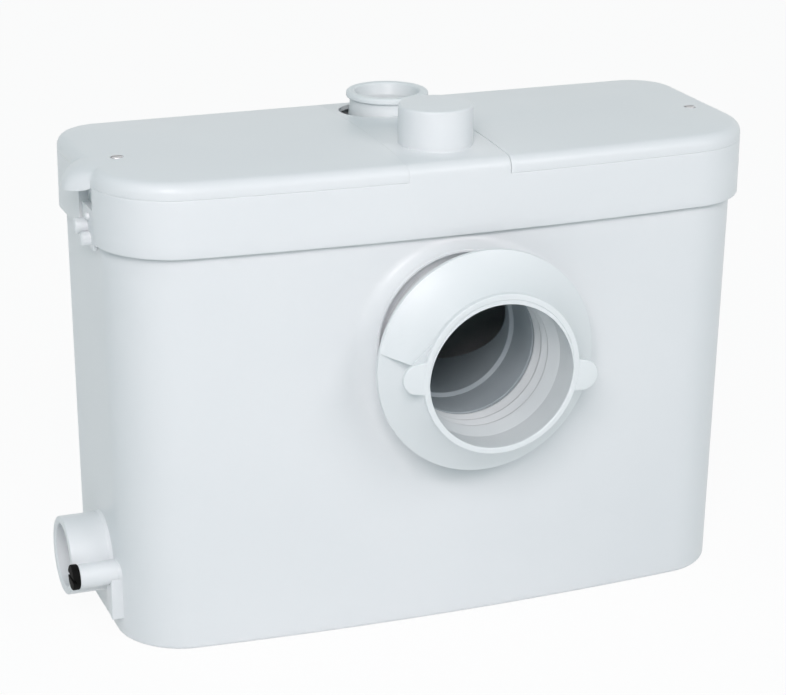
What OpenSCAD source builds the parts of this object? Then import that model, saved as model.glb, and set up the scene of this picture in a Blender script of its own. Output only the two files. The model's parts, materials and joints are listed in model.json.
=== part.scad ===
// Macerator toilet pump: a bowed tank under a two-cover lid, with a grinding motor on the left,
// a pumping motor on the right, a soft pan connector in front and an upright outlet behind.
// Origin at the middle of the tank's underside, +Z up, front towards -Y, all sizes in millimetres.

/* [Tank] */
// Length of the tank at its rim
tank_l = 450; // [430:1:480]
// Depth of the tank's ends at its rim
tank_d = 159.4; // [152:0.2:180]
// How far the front bows out at its middle
front_bow = 11.5; // [4:0.5:16]
// How far each wall leans in between rim and floor
tank_draft = 4.4; // [1:0.2:6]
// Height of the rim
rim_z = 288; // [286:1:310]
// Wall of the tank
tank_wall = 3; // [2.4:0.1:4]
// Floor of the tank
floor_t = 3; // [2.4:0.1:4]
// Radius of the front corners at the rim
front_r = 46; // [30:1:60]
// Radius of the back corners at the rim
back_r = 28; // [20:1:40]
// Rounding of the bottom edge
foot_r = 3; // [1:0.5:5]

/* [Lid] */
// How far the lid stands proud of the tank all round
lid_margin = 4.6; // [4:0.1:7]
// Wall of the lid and its covers
lid_wall = 2.6; // [2:0.1:3]
// How far the skirt hangs below the rim
skirt_drop = 11.4; // [6:0.2:15]
// Height of the lid above the rim, to its top edge
lid_rise = 38.2; // [36:0.2:50]
// Height of the covers' edge, down to the seam
cover_h = 11.2; // [9:0.2:14]
// Rounding of the lid's top edge
edge_r = 7.7; // [3:0.1:9]
// Rise of the lid's top towards its middle
crown = 2.8; // [1:0.1:4]
// Width of the bridge between the covers
bridge_w = 71; // [66:1:80]
// Gap between a cover and the bridge
seam_gap = 0.4; // [0.3:0.05:0.8]
// Thickness of the lid's deck
deck_t = 3; // [2.4:0.1:4]
// Thickness of the gasket on the rim
gasket_t = 3; // [2:0.1:4]

/* [Vent] */
// Radius of the vent cap
cap_r = 25; // [22:0.5:28]
// Height of the vent cap
cap_h = 25; // [20:0.5:35]
// Distance of the vent cap behind the line of the tank's front corners
cap_in = 28.7; // [27:0.1:32]
// Outer radius of the vent collar under the cap
collar_r = 20; // [16:0.5:21]

/* [Discharge] */
// Distance of the discharge column in front of the tank's back
spout_in = 33.7; // [32:0.1:38]
// Distance of the discharge column to the right of the middle
spout_x = 2.8; // [0:0.2:3.4]
// Bore radius that takes the discharge pipe
pipe_r = 20.2; // [16:0.1:21]
// Outer radius of the spout's neck
neck_r = 25.9; // [24:0.1:26.5]
// Outer radius of the spout's rolled lip
lip_r = 28.6; // [27:0.1:30]
// Height of the spout above the lid's top edge
spout_rise = 15; // [10:0.5:30]
// Inner radius of the riser pipe
riser_r = 14; // [11:0.5:15]
// Radius of the discharge column's flap
check_flap_r = 17.5; // [15:0.5:18]

/* [Pan connector] */
// Sideways place of the pan inlet
pan_x = 13; // [0:1:14]
// Height of the pan inlet's axis
pan_z = 194; // [185:1:196]
// Bore radius that takes the pan's spigot
mouth_r = 51.3; // [48:0.1:53]
// Width of the mouth's lip
mouth_lip = 3.2; // [2:0.1:4]
// Length of the sleeve in front of the boss
sleeve_l = 41.6; // [38:0.2:50]
// Length of the plain bore behind the mouth
mouth_land = 27; // [20:0.5:28]
// Width of the flange outside the bore
flange_w = 25.2; // [22:0.2:28]
// How far the boss stands out from the middle of the tank's front
boss_proud = 8.8; // [6:0.2:12]
// Outer radius of the boss
boss_r = 76; // [72:0.5:78]
// Gap between the boss and the flange's edge
flange_gap = 9.5; // [6:0.5:12]
// Thickness of the flange's edge
flange_t = 5; // [3:0.5:7]
// Inner radius of the inlet tube
tube_r = 47.5; // [44:0.5:48.5]
// Turn of the pull tabs about the axis
tab_turn = 5; // [0:1:15]

/* [Side inlet] */
// Place of the side inlet along the depth
side_y = -2; // [-6:1:6]
// Height of the side inlet's axis
side_z = 47; // [44:1:56]
// Bore radius that takes the waste pipe
side_r = 21.6; // [18:0.1:22]
// Wall of the side inlet
side_wall = 5.4; // [3:0.1:6]
// Length of the side inlet outside the tank's end
side_len = 28.6; // [22:0.2:40]
// Outer radius of the drain spigot
spigot_r = 8.3; // [7:0.1:9]
// Wall of the drain spigot
spigot_wall = 2.5; // [1.5:0.1:3]
// Distance of the drain spigot in front of the side inlet
spigot_off = 35; // [34:0.5:38]

/* [Cord exit] */
// Front edge of the cord groove
groove_front = 35; // [33:0.5:37]
// Width of the cord groove
groove_w = 33; // [28:0.5:36]
// Depth of the cord groove above the deck
groove_depth = 10; // [8:0.5:12]
// Reach of the cord hood beyond the lid's end
hood_reach = 16.5; // [9:0.5:18]

/* [Motors] */
// Distance of each motor from the tank's middle
motor_x = 128; // [124:1:132]
// Outer radius of a motor's can
can_r = 44; // [40:0.5:45]
// Radius of the motor shafts
shaft_r = 6; // [5:0.1:7]
// Radius of the rotors
rotor_r = 24; // [20:0.5:26]
// Height of the stators
stator_h = 60; // [50:1:62]
// Tip radius of the grinding blade
blade_r = 45; // [40:0.5:47]
// Outer radius of the grinder basket
basket_r = 54; // [51:0.5:58]
// Tip radius of the impeller
impeller_r = 38; // [32:0.5:39]

/* [Hidden] */
$fn = 64;

// Shared clearances and small sizes
fit_gap = 0.05;
slip_gap = 0.3;
eps = 0.01;
over = 1;
big = 1000;
least_r = 3;
corner_steps = 9;
front_steps = 12;
edge_steps = 5;
crown_steps = 4;
crown_reach = 0.8;
screw_r = 1.8;
screw_head_r = 4;
screw_head_h = 3;
driver_w = 1.2;
driver_d = 1;
post_r = 5;
pin_r = 1.5;
knuckle_r = 3.2;

// Heights of the lid
deck_z = rim_z + gasket_t;
deck_top = deck_z + deck_t;
skirt_z = rim_z - skirt_drop;
lid_top = rim_z + lid_rise;
seam_z = lid_top - cover_h;
crown_top = lid_top + crown;
ceiling_z = lid_top - lid_wall;

// Plan of the lid
lid_a = tank_l/2 + lid_margin;
lid_b = tank_d/2 + lid_margin;
lid_front_r = front_r + lid_margin/2;
lid_back_r = back_r + lid_margin;

// Motors and their wells
motor_y = -4;
can_wall = 1.7;
well_gap = 3;
well_wall = 2.5;
well_r = can_r + well_gap;
well_out = well_r + well_wall;
well_rim = 3;
well_rim_t = 2;
well_floor_t = 3;
can_h = 112;
can_rise = 15;
bell_t = 3;
can_top = deck_top + can_rise;
can_z = can_top - can_h;
bell_top = can_top + bell_t;
bearing_r = 13;
bearing_h = 8;
bearing_boss_r = 16;
bearing_seat = 3;
shaft_hole_r = shaft_r + over;
air_gap = 0.5;
stator_z = (can_z + can_top - stator_h)/2;
rotor_in = 2;
winding_h = 10;
winding_gap = 3;
winding_in = rotor_r + winding_gap;
winding_out = can_r - can_wall - winding_gap;
seal_t = 4;
seal_r = shaft_r + seal_t;
seal_h = 9;
seal_boss_wall = 4;
seal_lip_t = 2;
ear_out = 10;
ear_r = can_r + ear_out;
ear_w = 12;
ear_angles = [90, 210, 330];
shaft_top = can_top - bearing_seat/2;

// Grinding end of the macerator
basket_wall = 2.5;
basket_foot_h = 5;
basket_z = floor_t + basket_foot_h;
basket_h = 92;
basket_floor_t = 3;
basket_slots = 24;
slot_w = 6;
slot_h = 26;
foot_post_r = 5;
foot_ring = 40;
foot_angles = [30, 150, 270];
blade_t = 4;
blade_w = 20;
blade_up = 22;
blade_z = basket_z + basket_floor_t + blade_up;
nut_h = 7;
nut_r = 10;
chute_front = -52;
chute_w = 70;
chute_end = 68;
chute_low = 45;
chute_high = 95;
chute_side = 30;
chute_t = 2.5;
chute_bite = 10;
chute_start = motor_x - basket_r + chute_bite;

// Pumping end
plate_t = 3;
plate_foot_h = 9;
plate_z = floor_t + plate_foot_h;
plate_r = 56;
suction_r = 18;
volute_z = plate_z + plate_t;
chamber_gap = 7;
chamber_r = impeller_r + chamber_gap;
volute_wall = 4;
volute_h = 32;
flange_h = 4;
impeller_gap = 4;
vane_h = 14;
shroud_t = 4;
vane_t = 3;
vane_count = 6;
vane_turn = 20;
hub_r = 11;
impeller_z = volute_z + impeller_gap;
nozzle_r = riser_r;
riser_wall = 3;
nozzle_z = volute_z + riser_r + riser_wall;
nozzle_end = 78;
volute_screw_ring = 52;
volute_screw_angles = [0, 180, 225, 315];

// Discharge column
spout_back = tank_d/2 - spout_in;
valve_depth = 36;
valve_z = deck_top - valve_depth;
valve_floor_t = 4;
valve_room = 6.5;
valve_in = check_flap_r + valve_room;
valve_wall = 3;
valve_out = valve_in + valve_wall;
valve_up = 6;
valve_top = deck_top + valve_up;
seat_lap = 3;
seat_r = check_flap_r - seat_lap;
flap_t = 2.5;
check_pin_y = spout_back + check_flap_r + flap_t;
knuckle_up = 0.8;
check_pin_z = valve_z + valve_floor_t + knuckle_r + knuckle_up;
check_knuckle_w = 12;
ear_t = 3;
ear_gap = 0.3;
spout_base_t = 3;
spout_top = lid_top + spout_rise;
lip_h = 5.4;
lip_round = 2;
mouth_flare = 2.8;
hole_slack = 5.5;
hole_gap = 1.3;

// Vent cap
cap_front = tank_d/2 - cap_in;
cap_round = 2;

// Front inlet
boss_front = tank_d/2 + front_bow + boss_proud;
mouth_front = boss_front + sleeve_l;
flange_r = mouth_r + flange_w;
tail_wall = 2.2;
tail_out = mouth_r + tail_wall;
socket_r = tail_out + slip_gap;
socket_wall = 2.6;
tube_out = socket_r + socket_wall;
tube_nose = 10;
tube_flange_t = 3;
tube_flange_w = 6;
tube_flange_r = tube_out + tube_flange_w;
tube_back = 4;
tube_step = 2;
step_in = 50;
tube_step_front = boss_front - step_in;
neck_wall = 5;
lip_count = 3;
lip_depth = 3.8;
lip_pitch = 11;
lip_base = 10.2;
lip_tip = 1.4;
lip_land = 4;
lip_chamfer = 1;
lip_back = 0.4;
tail_end = mouth_front - mouth_land - lip_count*lip_pitch;
boss_rim_t = 2.4;
boss_seat_t = 3;
boss_trough = 8;
bell_in = 10;
bell_up = 14;
bell_steps = 8;
flange_round = 2;
undercut = 7;
tab_w = 16;
tab_reach = 17;
tab_t = 3;
web_t = 3;

// Side inlet and drain spigot
end_x = tank_l/2 - tank_draft*(1 - side_z/rim_z);
side_mouth = end_x + side_len;
side_out = side_r + side_wall;
flap_seat_in = 8;
wall_lean = 0.8;
rim_t = 2.4;
rim_w = 4;
flap_lap = 2.8;
side_flap_r = side_r + flap_lap;
side_pin_z = side_z + side_flap_r + knuckle_r + pin_r;
side_knuckle_w = 12;
spigot_y = side_y - spigot_off;
spigot_drop = 1;
spigot_z = side_z - spigot_drop;
spigot_short = 2.2;
spigot_mouth = side_mouth - spigot_short;
lug_t = 6;
lug_z = 14;
lug_front = spigot_y - spigot_r;
lug_w = 14.3;
plug_head = 5;
plug_rim = 0.4;
plug_stem = 10;
plug_slot_w = 2;
plug_slot_d = 2.5;

// Cord exit
groove_y = -groove_front;
tank_clear = 0.2;
groove_lower = lid_margin - tank_clear;
groove_wall = 2.6;
hood_r = 17;
hood_t = 2.5;
grip_plate_t = 3.2;
grip_drop = 8;
grip_foot_t = 3;
peg_r = 4;
peg_reach = 8;
peg_off = 5;
peg_pitch = 8.5;
grip_side = 3;

// Level switch
bell_r = 15;
bell_wall = 2.5;
bell_low = 60;
switch_out = 52;
switch_back = 54;
switch_x = motor_x + switch_out;
switch_y = motor_y + switch_back;
switch_r = 21;
cup_t = 3;
membrane_t = 1;
switch_h = 10;
switch_wall = 4;
foot_t = 2;
plunger_r = 3;
plunger_foot_r = 12;
plunger_rise = 2.5;
micro_size = [28, 10, 12];

// Electrics
cap_can_r = 12.5;
cap_can_l = 50;
cap_can_in = 18;
cap_can_gap = 3;
cap_can_y = lid_b - lid_wall - cap_can_gap - cap_can_r;
block_size = [26, 34, 16];
block_out = 54;
block_back = 54;
block_at = [-motor_x - block_out, motor_y + block_back];
block_poles = 3;
block_screw_r = 3;

// Screw places
cover_screw_in = 22.7;
cover_screw_y = -15.8;
lid_boss_clear = 1;
lid_boss_x = switch_x - switch_r - screw_head_r - lid_boss_clear;
lid_boss_r = 5.5;
lid_boss_h = 24;
wall_bite = 0.8;
corner_ease = 1.2;
screw_tip_gap = 6;

// Points of a quarter circle about [cx, cy]
function arc(cx, cy, r, from, steps) =
    [for (i = [0:steps]) [cx + r*cos(from + 90*i/steps), cy + r*sin(from + 90*i/steps)]];

// Moves a point of the front half out by the bow
function bowed(p, a, b) =
    p[1] < 0 ? [p[0], p[1] + front_bow*(1 - pow(p[0]/a, 2))*p[1]/b] : p;

// Plan of half length a and half depth b with round corners and a bowed front
function outline(a, b, rf, rb) = [
    for (p = concat(
        arc(a - rb, b - rb, rb, 0, corner_steps),
        arc(rb - a, b - rb, rb, 90, corner_steps),
        arc(rf - a, rf - b, rf, 180, corner_steps),
        [for (i = [1:front_steps - 1]) [(a - rf)*(2*i/front_steps - 1), -b]],
        arc(a - rf, rf - b, rf, 270, corner_steps)))
    bowed(p, a, b)];

// The tank's plan at height z, moved in by extra
function tank_plan(z, extra) =
    let (i = tank_draft*(1 - z/rim_z) + extra)
    outline(tank_l/2 - i, tank_d/2 - i, max(front_r - i, least_r), max(back_r - i, least_r));

// The lid's plan, moved in by i
function lid_plan(i) =
    outline(lid_a - i, lid_b - i, max(lid_front_r - i, least_r), max(lid_back_r - i, least_r));

// Depth of the tank's front at x, moved in by extra, at the rim
function front_depth(x, extra) =
    tank_d/2 - extra + front_bow*(1 - pow(x/(tank_l/2 - extra), 2));

// Solid through a list of [z, plan] layers with equally many points
module loft(layers) {
    n = len(layers[0][1]);
    last = len(layers) - 1;
    points = [for (layer = layers) for (p = layer[1]) [p[0], p[1], layer[0]]];
    under = [[for (i = [0:n - 1]) i]];
    upper = [[for (i = [n - 1:-1:0]) last*n + i]];
    sides = [for (k = [0:last - 1]) for (i = [0:n - 1]) for (half = [0, 1])
        let (j = (i + 1)%n, low = k*n, high = (k + 1)*n)
        half == 0 ? [low + i, high + i, high + j] : [low + i, high + j, low + j]];
    polyhedron(points = points, faces = concat(under, upper, sides));
}

// Cylinder along X between two places
module along_x(x0, x1, y, z, r) {
    translate([x0, y, z]) rotate([0, 90, 0]) cylinder(h = x1 - x0, r = r);
}

// Cylinder along Y between two places
module along_y(y0, y1, x, z, r) {
    translate([x, y0, z]) rotate([-90, 0, 0]) cylinder(h = y1 - y0, r = r);
}

// Upright cylinder between two heights
module upright(x, y, z0, z1, r) {
    translate([x, y, z0]) cylinder(h = z1 - z0, r = r);
}

// Ring standing on z0
module ring(x, y, z0, z1, out, inside) {
    difference() {
        upright(x, y, z0, z1, out);
        upright(x, y, z0 - over, z1 + over, inside);
    }
}

// Box between two corners
module box(low, high) {
    translate(low) cube(high - low);
}

// Screw with a round head standing on z, its shank below
module screw(x, y, z, shank) {
    upright(x, y, z - shank, z + eps, screw_r);
    difference() {
        upright(x, y, z, z + screw_head_h, screw_head_r);
        box([x - screw_head_r - over, y - driver_w/2, z + screw_head_h - driver_d],
            [x + screw_head_r + over, y + driver_w/2, z + screw_head_h + over]);
    }
}

// Whole outer form of the lid: skirt, rounded edge and crowned top
module lid_form() {
    edge = [for (i = [0:edge_steps]) let (t = 90*i/edge_steps)
        [lid_top - edge_r + edge_r*sin(t), lid_plan(edge_r*(1 - cos(t)))]];
    top = [for (i = [1:crown_steps]) let (
            inset = edge_r + (lid_b - edge_r)*crown_reach*i/crown_steps,
            share = (lid_b - inset)/(lid_b - edge_r))
        [lid_top + crown*(1 - share*share), lid_plan(inset)]];
    loft(concat([[skirt_z, lid_plan(0)]], edge, top));
}

// The lid's inside between two heights
module lid_inside(z0, z1) {
    translate([0, 0, z0]) linear_extrude(height = z1 - z0) polygon(lid_plan(lid_wall));
}

// Space beyond a side face of the bridge
module beyond(side, x, z0, z1) {
    low = side > 0 ? x : -big;
    high = side > 0 ? big : -x;
    box([low, -big, z0], [high, big, z1]);
}

// Places of the screws that hold the lid on the tank
function lid_boss_places() = [
    for (side = [-1, 1]) for (back = [0, 1])
        [side*lid_boss_x, back == 1
            ? tank_d/2 - tank_wall - lid_boss_r + wall_bite
            : -(front_depth(lid_boss_x, tank_wall) - lid_boss_r + wall_bite + corner_ease)]];

function cover_screw_place(side) = [side*(lid_a - cover_screw_in), cover_screw_y];
function motor_ear(side, angle) = [side*(motor_x + ear_r*cos(angle)), motor_y + ear_r*sin(angle)];

module tank() color("whitesmoke") {
    difference() {
        union() {
            loft([[0, tank_plan(0, foot_r)], [foot_r/3, tank_plan(0, foot_r/3)],
                [foot_r, tank_plan(foot_r, 0)], [rim_z, tank_plan(rim_z, 0)]]);
            along_y(-boss_front, -tank_d/2 + 2*tank_wall, pan_x, pan_z, boss_r);
            box([-end_x - lug_t, lug_front, lug_z], [tank_wall - end_x, lug_front + lug_w, spigot_z]);
        }
        loft([[floor_t, tank_plan(floor_t, tank_wall)], [rim_z + over, tank_plan(rim_z, tank_wall)]]);
        along_y(-boss_front - over, 0, pan_x, pan_z, tube_out + slip_gap);
        along_y(-boss_front - over, -boss_front + tube_flange_t, pan_x, pan_z, tube_flange_r + slip_gap);
        difference() {
            along_y(-boss_front - over, -boss_front + boss_trough, pan_x, pan_z, boss_r - boss_rim_t);
            along_y(-big, big, pan_x, pan_z, tube_flange_r + slip_gap + boss_seat_t);
        }
        along_x(-side_mouth, 0, side_y, side_z, side_out + slip_gap);
        along_x(-side_mouth, 0, spigot_y, spigot_z, spigot_r + slip_gap);
    }
    for (place = lid_boss_places())
        ring(place[0], place[1], rim_z - lid_boss_h, rim_z, lid_boss_r, screw_r + fit_gap);
}

// Stub and drain spigot in one, held by a flange inside the tank's end, with the flap's seat and ears
module side_inlet() color("whitesmoke") {
    seat = -end_x + flap_seat_in;
    rim = -end_x + tank_wall + wall_lean;
    difference() {
        union() {
            along_x(-side_mouth, seat, side_y, side_z, side_out);
            along_x(-spigot_mouth, rim + rim_t, spigot_y, spigot_z, spigot_r);
            along_x(rim, rim + rim_t, side_y, side_z, side_out + rim_w);
            for (ear_y = [side_y - side_knuckle_w/2 - ear_gap - ear_t, side_y + side_knuckle_w/2 + ear_gap])
                box([rim, ear_y, side_z + side_r + ear_t],
                    [seat + 2*knuckle_r + ear_gap, ear_y + ear_t, side_pin_z + knuckle_r]);
        }
        along_x(-side_mouth - over, big, side_y, side_z, side_r);
        along_x(-side_mouth - over, -spigot_mouth, spigot_y, spigot_z, spigot_r + plug_rim + slip_gap);
        along_x(-spigot_mouth - over, -end_x - tank_wall, spigot_y, spigot_z, spigot_r - spigot_wall);
        along_x(-side_mouth, big, spigot_y, spigot_z, spigot_r - 2*spigot_wall);
        along_y(-big, big, seat + knuckle_r + ear_gap, side_pin_z, pin_r + fit_gap);
    }
}

module side_flap() color("dimgray") {
    seat = -end_x + flap_seat_in;
    pin_x = seat + knuckle_r + ear_gap;
    difference() {
        union() {
            along_x(seat, seat + flap_t, side_y, side_z, side_flap_r);
            along_y(side_y - side_knuckle_w/2, side_y + side_knuckle_w/2, pin_x, side_pin_z, knuckle_r);
            box([seat + ear_gap, side_y - side_knuckle_w/2, side_z + side_r],
                [seat + flap_t, side_y + side_knuckle_w/2, side_pin_z]);
        }
        along_y(-big, big, pin_x, side_pin_z, pin_r + fit_gap);
    }
}

module side_flap_pin() color("silver") {
    half = side_knuckle_w/2 + ear_gap + ear_t;
    along_y(side_y - half, side_y + half, -end_x + flap_seat_in + knuckle_r + ear_gap,
        side_pin_z, pin_r);
}

module spigot_plug() color("black") {
    head = -spigot_mouth - plug_head;
    difference() {
        union() {
            along_x(head, -spigot_mouth, spigot_y, spigot_z, spigot_r + plug_rim);
            along_x(-spigot_mouth - eps, -spigot_mouth + plug_stem, spigot_y, spigot_z,
                spigot_r - spigot_wall - slip_gap);
        }
        box([head - over, spigot_y - big, spigot_z - plug_slot_w/2],
            [head + plug_slot_d, spigot_y + big, spigot_z + plug_slot_w/2]);
    }
}

module main_lid() color("white") {
    vent = [0, -cap_front];
    difference() {
        union() {
            difference() {
                lid_form();
                for (side = [-1, 1]) {
                    beyond(side, bridge_w/2, seam_z, big);
                    intersection() {
                        lid_inside(deck_top, big);
                        beyond(side, bridge_w/2, deck_top, big);
                    }
                }
                lid_inside(skirt_z - over, deck_z);
                intersection() {
                    lid_inside(deck_top, ceiling_z);
                    box([lid_wall - bridge_w/2, -big, deck_top], [bridge_w/2 - lid_wall, big, big]);
                }
                box([-big, groove_y, skirt_z - over], [groove_lower - lid_a, groove_y + groove_w, big]);
                box([-big, groove_y, deck_top], [groove_depth - lid_a, groove_y + groove_w, big]);
            }
            groove_lining();
            upright(vent[0], vent[1], ceiling_z, crown_top, cap_r + over);
            upright(vent[0], vent[1], ceiling_z, crown_top + cap_h/2, collar_r);
            for (side = [-1, 1]) {
                place = cover_screw_place(side);
                upright(place[0], place[1], deck_z, ceiling_z - slip_gap, post_r);
            }
        }
        for (side = [-1, 1]) {
            upright(side*motor_x, motor_y, deck_z - over, deck_top + over, well_out + slip_gap);
            place = cover_screw_place(side);
            upright(place[0], place[1], deck_top + over, big, screw_r + fit_gap);
        }
        for (place = lid_boss_places())
            upright(place[0], place[1], deck_z - over, deck_top + over, screw_r + fit_gap);
        upright(vent[0], vent[1], ceiling_z - over, big, collar_r - 2*lid_wall);
        upright(vent[0], vent[1], crown_top, big, collar_r - lid_wall);
        upright(vent[0], vent[1], deck_z - over, deck_top + over, collar_r/2);
        upright(spout_x, spout_back, deck_z - over, deck_top + over, valve_out + slip_gap);
        spout_hole();
        upright(switch_x, switch_y, deck_z - over, deck_top + over, bell_r + slip_gap);
    }
}

// Long hole in the bridge, with play for the spout to either side
module spout_hole() {
    slide = hole_slack - hole_gap;
    for (side = [-1, 1])
        upright(side*slide, spout_back, ceiling_z - over, big, neck_r + hole_gap);
    box([-slide, spout_back - neck_r - hole_gap, ceiling_z - over],
        [slide, spout_back + neck_r + hole_gap, big]);
}

// Wall that closes the left compartment behind the cord groove
module groove_lining() {
    inner = groove_depth - lid_a;
    difference() {
        box([inner - lid_wall, groove_y - groove_wall, deck_z],
            [inner + groove_wall, groove_y + groove_w + groove_wall, seam_z]);
        box([inner - lid_wall - over, groove_y, deck_top], [inner, groove_y + groove_w, big]);
    }
    for (y = [groove_y - groove_wall, groove_y + groove_w])
        box([-lid_a + lid_wall/2, y, deck_z], [inner + eps, y + groove_wall, seam_z]);
}

module lid_gasket() color("dimgray") {
    translate([0, 0, rim_z]) linear_extrude(height = gasket_t) difference() {
        polygon(tank_plan(rim_z, slip_gap));
        polygon(tank_plan(rim_z, tank_wall - slip_gap));
    }
}

module lid_screws() color("silver") {
    for (place = lid_boss_places())
        screw(place[0], place[1], deck_top, gasket_t + deck_t + lid_boss_h - screw_tip_gap);
}

// Right-hand cover: a shallow cap with a screw recess near its end
module cover_shell() {
    place = cover_screw_place(1);
    inner = bridge_w/2 + seam_gap;
    difference() {
        intersection() {
            lid_form();
            beyond(1, inner, seam_z, big);
        }
        intersection() {
            lid_inside(seam_z - over, ceiling_z);
            beyond(1, inner + lid_wall, seam_z - over, ceiling_z);
        }
        upright(place[0], place[1], ceiling_z - over, big, screw_r + slip_gap);
        upright(place[0], place[1], lid_top - screw_head_h/3, big, screw_head_r + slip_gap);
    }
}

module right_cover() color("white") cover_shell();

module left_cover() color("white") {
    hood_x = hood_r - lid_a - hood_reach;
    y0 = groove_y + slip_gap;
    y1 = groove_y + groove_w - slip_gap;
    difference() {
        union() {
            mirror([1, 0, 0]) cover_shell();
            difference() {
                along_y(y0, y1, hood_x, lid_top - hood_r, hood_r);
                along_y(y0 + hood_t, y1 - hood_t, hood_x, lid_top - hood_r, hood_r - hood_t);
                box([edge_r - lid_a, -big, -big], [big, big, big]);
                box([-big, -big, -big], [big, big, lid_top - hood_r]);
                box([-lid_a - slip_gap, -big, -big], [big, big, seam_z]);
            }
        }
        box([-lid_a - slip_gap, y0 + hood_t, seam_z - over],
            [2*lid_wall - lid_a, y1 - hood_t, seam_z + cover_h/2]);
    }
}

module left_cover_screw() color("silver") cover_screw(-1);
module right_cover_screw() color("silver") cover_screw(1);

// Screw whose head lies in the cover's recess
module cover_screw(side) {
    place = cover_screw_place(side);
    screw(place[0], place[1], lid_top - screw_head_h/3, lid_top - deck_top - screw_tip_gap);
}

module vent_cap() color("white") {
    low = crown_top + slip_gap;
    translate([0, -cap_front, low]) difference() {
        rotate_extrude() polygon([[0, 0], [cap_r, 0], [cap_r, cap_h - cap_round],
            [cap_r - cap_round/3, cap_h - cap_round/3], [cap_r - cap_round, cap_h], [0, cap_h]]);
        translate([0, 0, -over]) cylinder(h = cap_h - lid_wall + over, r = collar_r + slip_gap);
    }
}

module carbon_filter() color("dimgray") {
    upright(0, -cap_front, crown_top, crown_top + cap_h/2 + lid_wall, collar_r - lid_wall - slip_gap);
}

module discharge_spout() color("whitesmoke") {
    translate([spout_x, spout_back, 0]) rotate_extrude() polygon([
        [pipe_r, valve_top], [valve_out, valve_top], [valve_out, valve_top + spout_base_t],
        [neck_r, valve_top + spout_base_t + lip_round/2], [neck_r, spout_top - lip_h - lip_round],
        [lip_r - lip_round/2, spout_top - lip_h], [lip_r, spout_top - lip_h + lip_round/2],
        [lip_r, spout_top - lip_round], [lip_r - lip_round/3, spout_top - lip_round/3],
        [lip_r - lip_round, spout_top], [pipe_r + mouth_flare + lip_round/3, spout_top],
        [pipe_r + mouth_flare, spout_top - lip_round/3], [pipe_r, spout_top - lip_h - lip_round/2]]);
}

// Point at share t of the bell between flange edge and mouth
function bell_point(t) =
    let (a = [flange_r, boss_front + flange_gap + flange_t],
        b = [mouth_r + bell_in, boss_front + flange_gap + bell_up],
        c = [mouth_r + mouth_lip, mouth_front - lip_land])
    (1 - t)*(1 - t)*a + 2*t*(1 - t)*b + t*t*c;

// Inside of the sleeve from front to back: plain bore, sealing lips, then the slot over the tube's nose
function sleeve_inside() = concat(
    [[mouth_r, mouth_front], [mouth_r, mouth_front - mouth_land]],
    [for (i = [0:lip_count - 1]) let (front = mouth_front - mouth_land - i*lip_pitch)
        each [[mouth_r - lip_depth, front - lip_base + lip_tip], [mouth_r - lip_depth, front - lip_base],
            [mouth_r, front - lip_base - lip_back], [mouth_r, front - lip_pitch]]],
    [[tail_out, tail_end], [tail_out, boss_front + tube_nose + slip_gap],
        [tube_out + slip_gap, boss_front + tube_nose + slip_gap], [tube_out + slip_gap, boss_front]]);

module pan_connector() color("white") {
    neck = tube_out + neck_wall;
    edge = boss_front + flange_gap;
    back = [[neck, boss_front], [neck, edge + undercut], [flange_r - undercut, edge + flange_round],
        [flange_r - flange_round, edge], [flange_r - flange_round/3, edge + flange_round/3],
        [flange_r, edge + flange_round]];
    bell = [for (i = [0:bell_steps]) bell_point(i/bell_steps)];
    front = [[mouth_r + mouth_lip, mouth_front - lip_chamfer],
        [mouth_r + mouth_lip - lip_chamfer, mouth_front]];
    translate([pan_x, 0, pan_z]) rotate([90, tab_turn, 0]) {
        rotate_extrude($fn = 96) polygon(concat(back, bell, front, sleeve_inside()));
        for (side = [0, 180]) rotate([0, 0, side]) pull_tab();
    }
}

// Round-ended tab level with the mouth, with a web behind it
module pull_tab() {
    root = mouth_r + mouth_lip/2;
    mid = mouth_r + tab_reach - tab_w/2;
    translate([root, -tab_w/2, mouth_front - tab_t - lip_back]) cube([mid - root, tab_w, tab_t]);
    translate([mid, 0, mouth_front - tab_t - lip_back]) cylinder(h = tab_t, r = tab_w/2);
    translate([0, web_t/2, 0]) rotate([90, 0, 0]) linear_extrude(height = web_t)
        polygon([[root, mouth_front - tab_t], [mid + tab_w/3, mouth_front - tab_t],
            [flange_r - 2*flange_round, boss_front + flange_gap + flange_t],
            [mouth_r + tab_w, boss_front + flange_gap + 2*flange_t]]);
}

module inlet_tube() color("lightgray") {
    front = boss_front + tube_nose;
    shoulder = tail_end - slip_gap;
    translate([pan_x, 0, pan_z]) rotate([90, 0, 0]) rotate_extrude($fn = 96) polygon([
        [tube_r, shoulder], [socket_r, shoulder], [socket_r, front], [tube_out, front], [tube_out, boss_front],
        [tube_flange_r, boss_front], [tube_flange_r, boss_front - tube_flange_t],
        [tube_out, boss_front - tube_flange_t],
        [tube_out, tube_back], [tube_r - tube_step, tube_back], [tube_r - tube_step, tube_step_front],
        [tube_r, tube_step_front]]);
}

module cord_grip() color("whitesmoke") {
    outer = -lid_a;
    back = groove_lower - lid_a;
    y0 = groove_y + grip_side;
    y1 = groove_y + groove_w - grip_side;
    low = skirt_z - grip_drop;
    box([back - grip_plate_t, y0, low], [back - slip_gap, y1, deck_top + grip_foot_t]);
    box([back - grip_plate_t, y0, deck_top], [groove_depth - lid_a, y1, deck_top + grip_foot_t]);
    for (i = [0:2])
        along_x(outer - peg_reach/2, back - slip_gap, (y0 + y1)/2 + (i%2 == 0 ? -peg_off : peg_off),
            low + peg_r + i*peg_pitch, peg_r);
}

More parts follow.
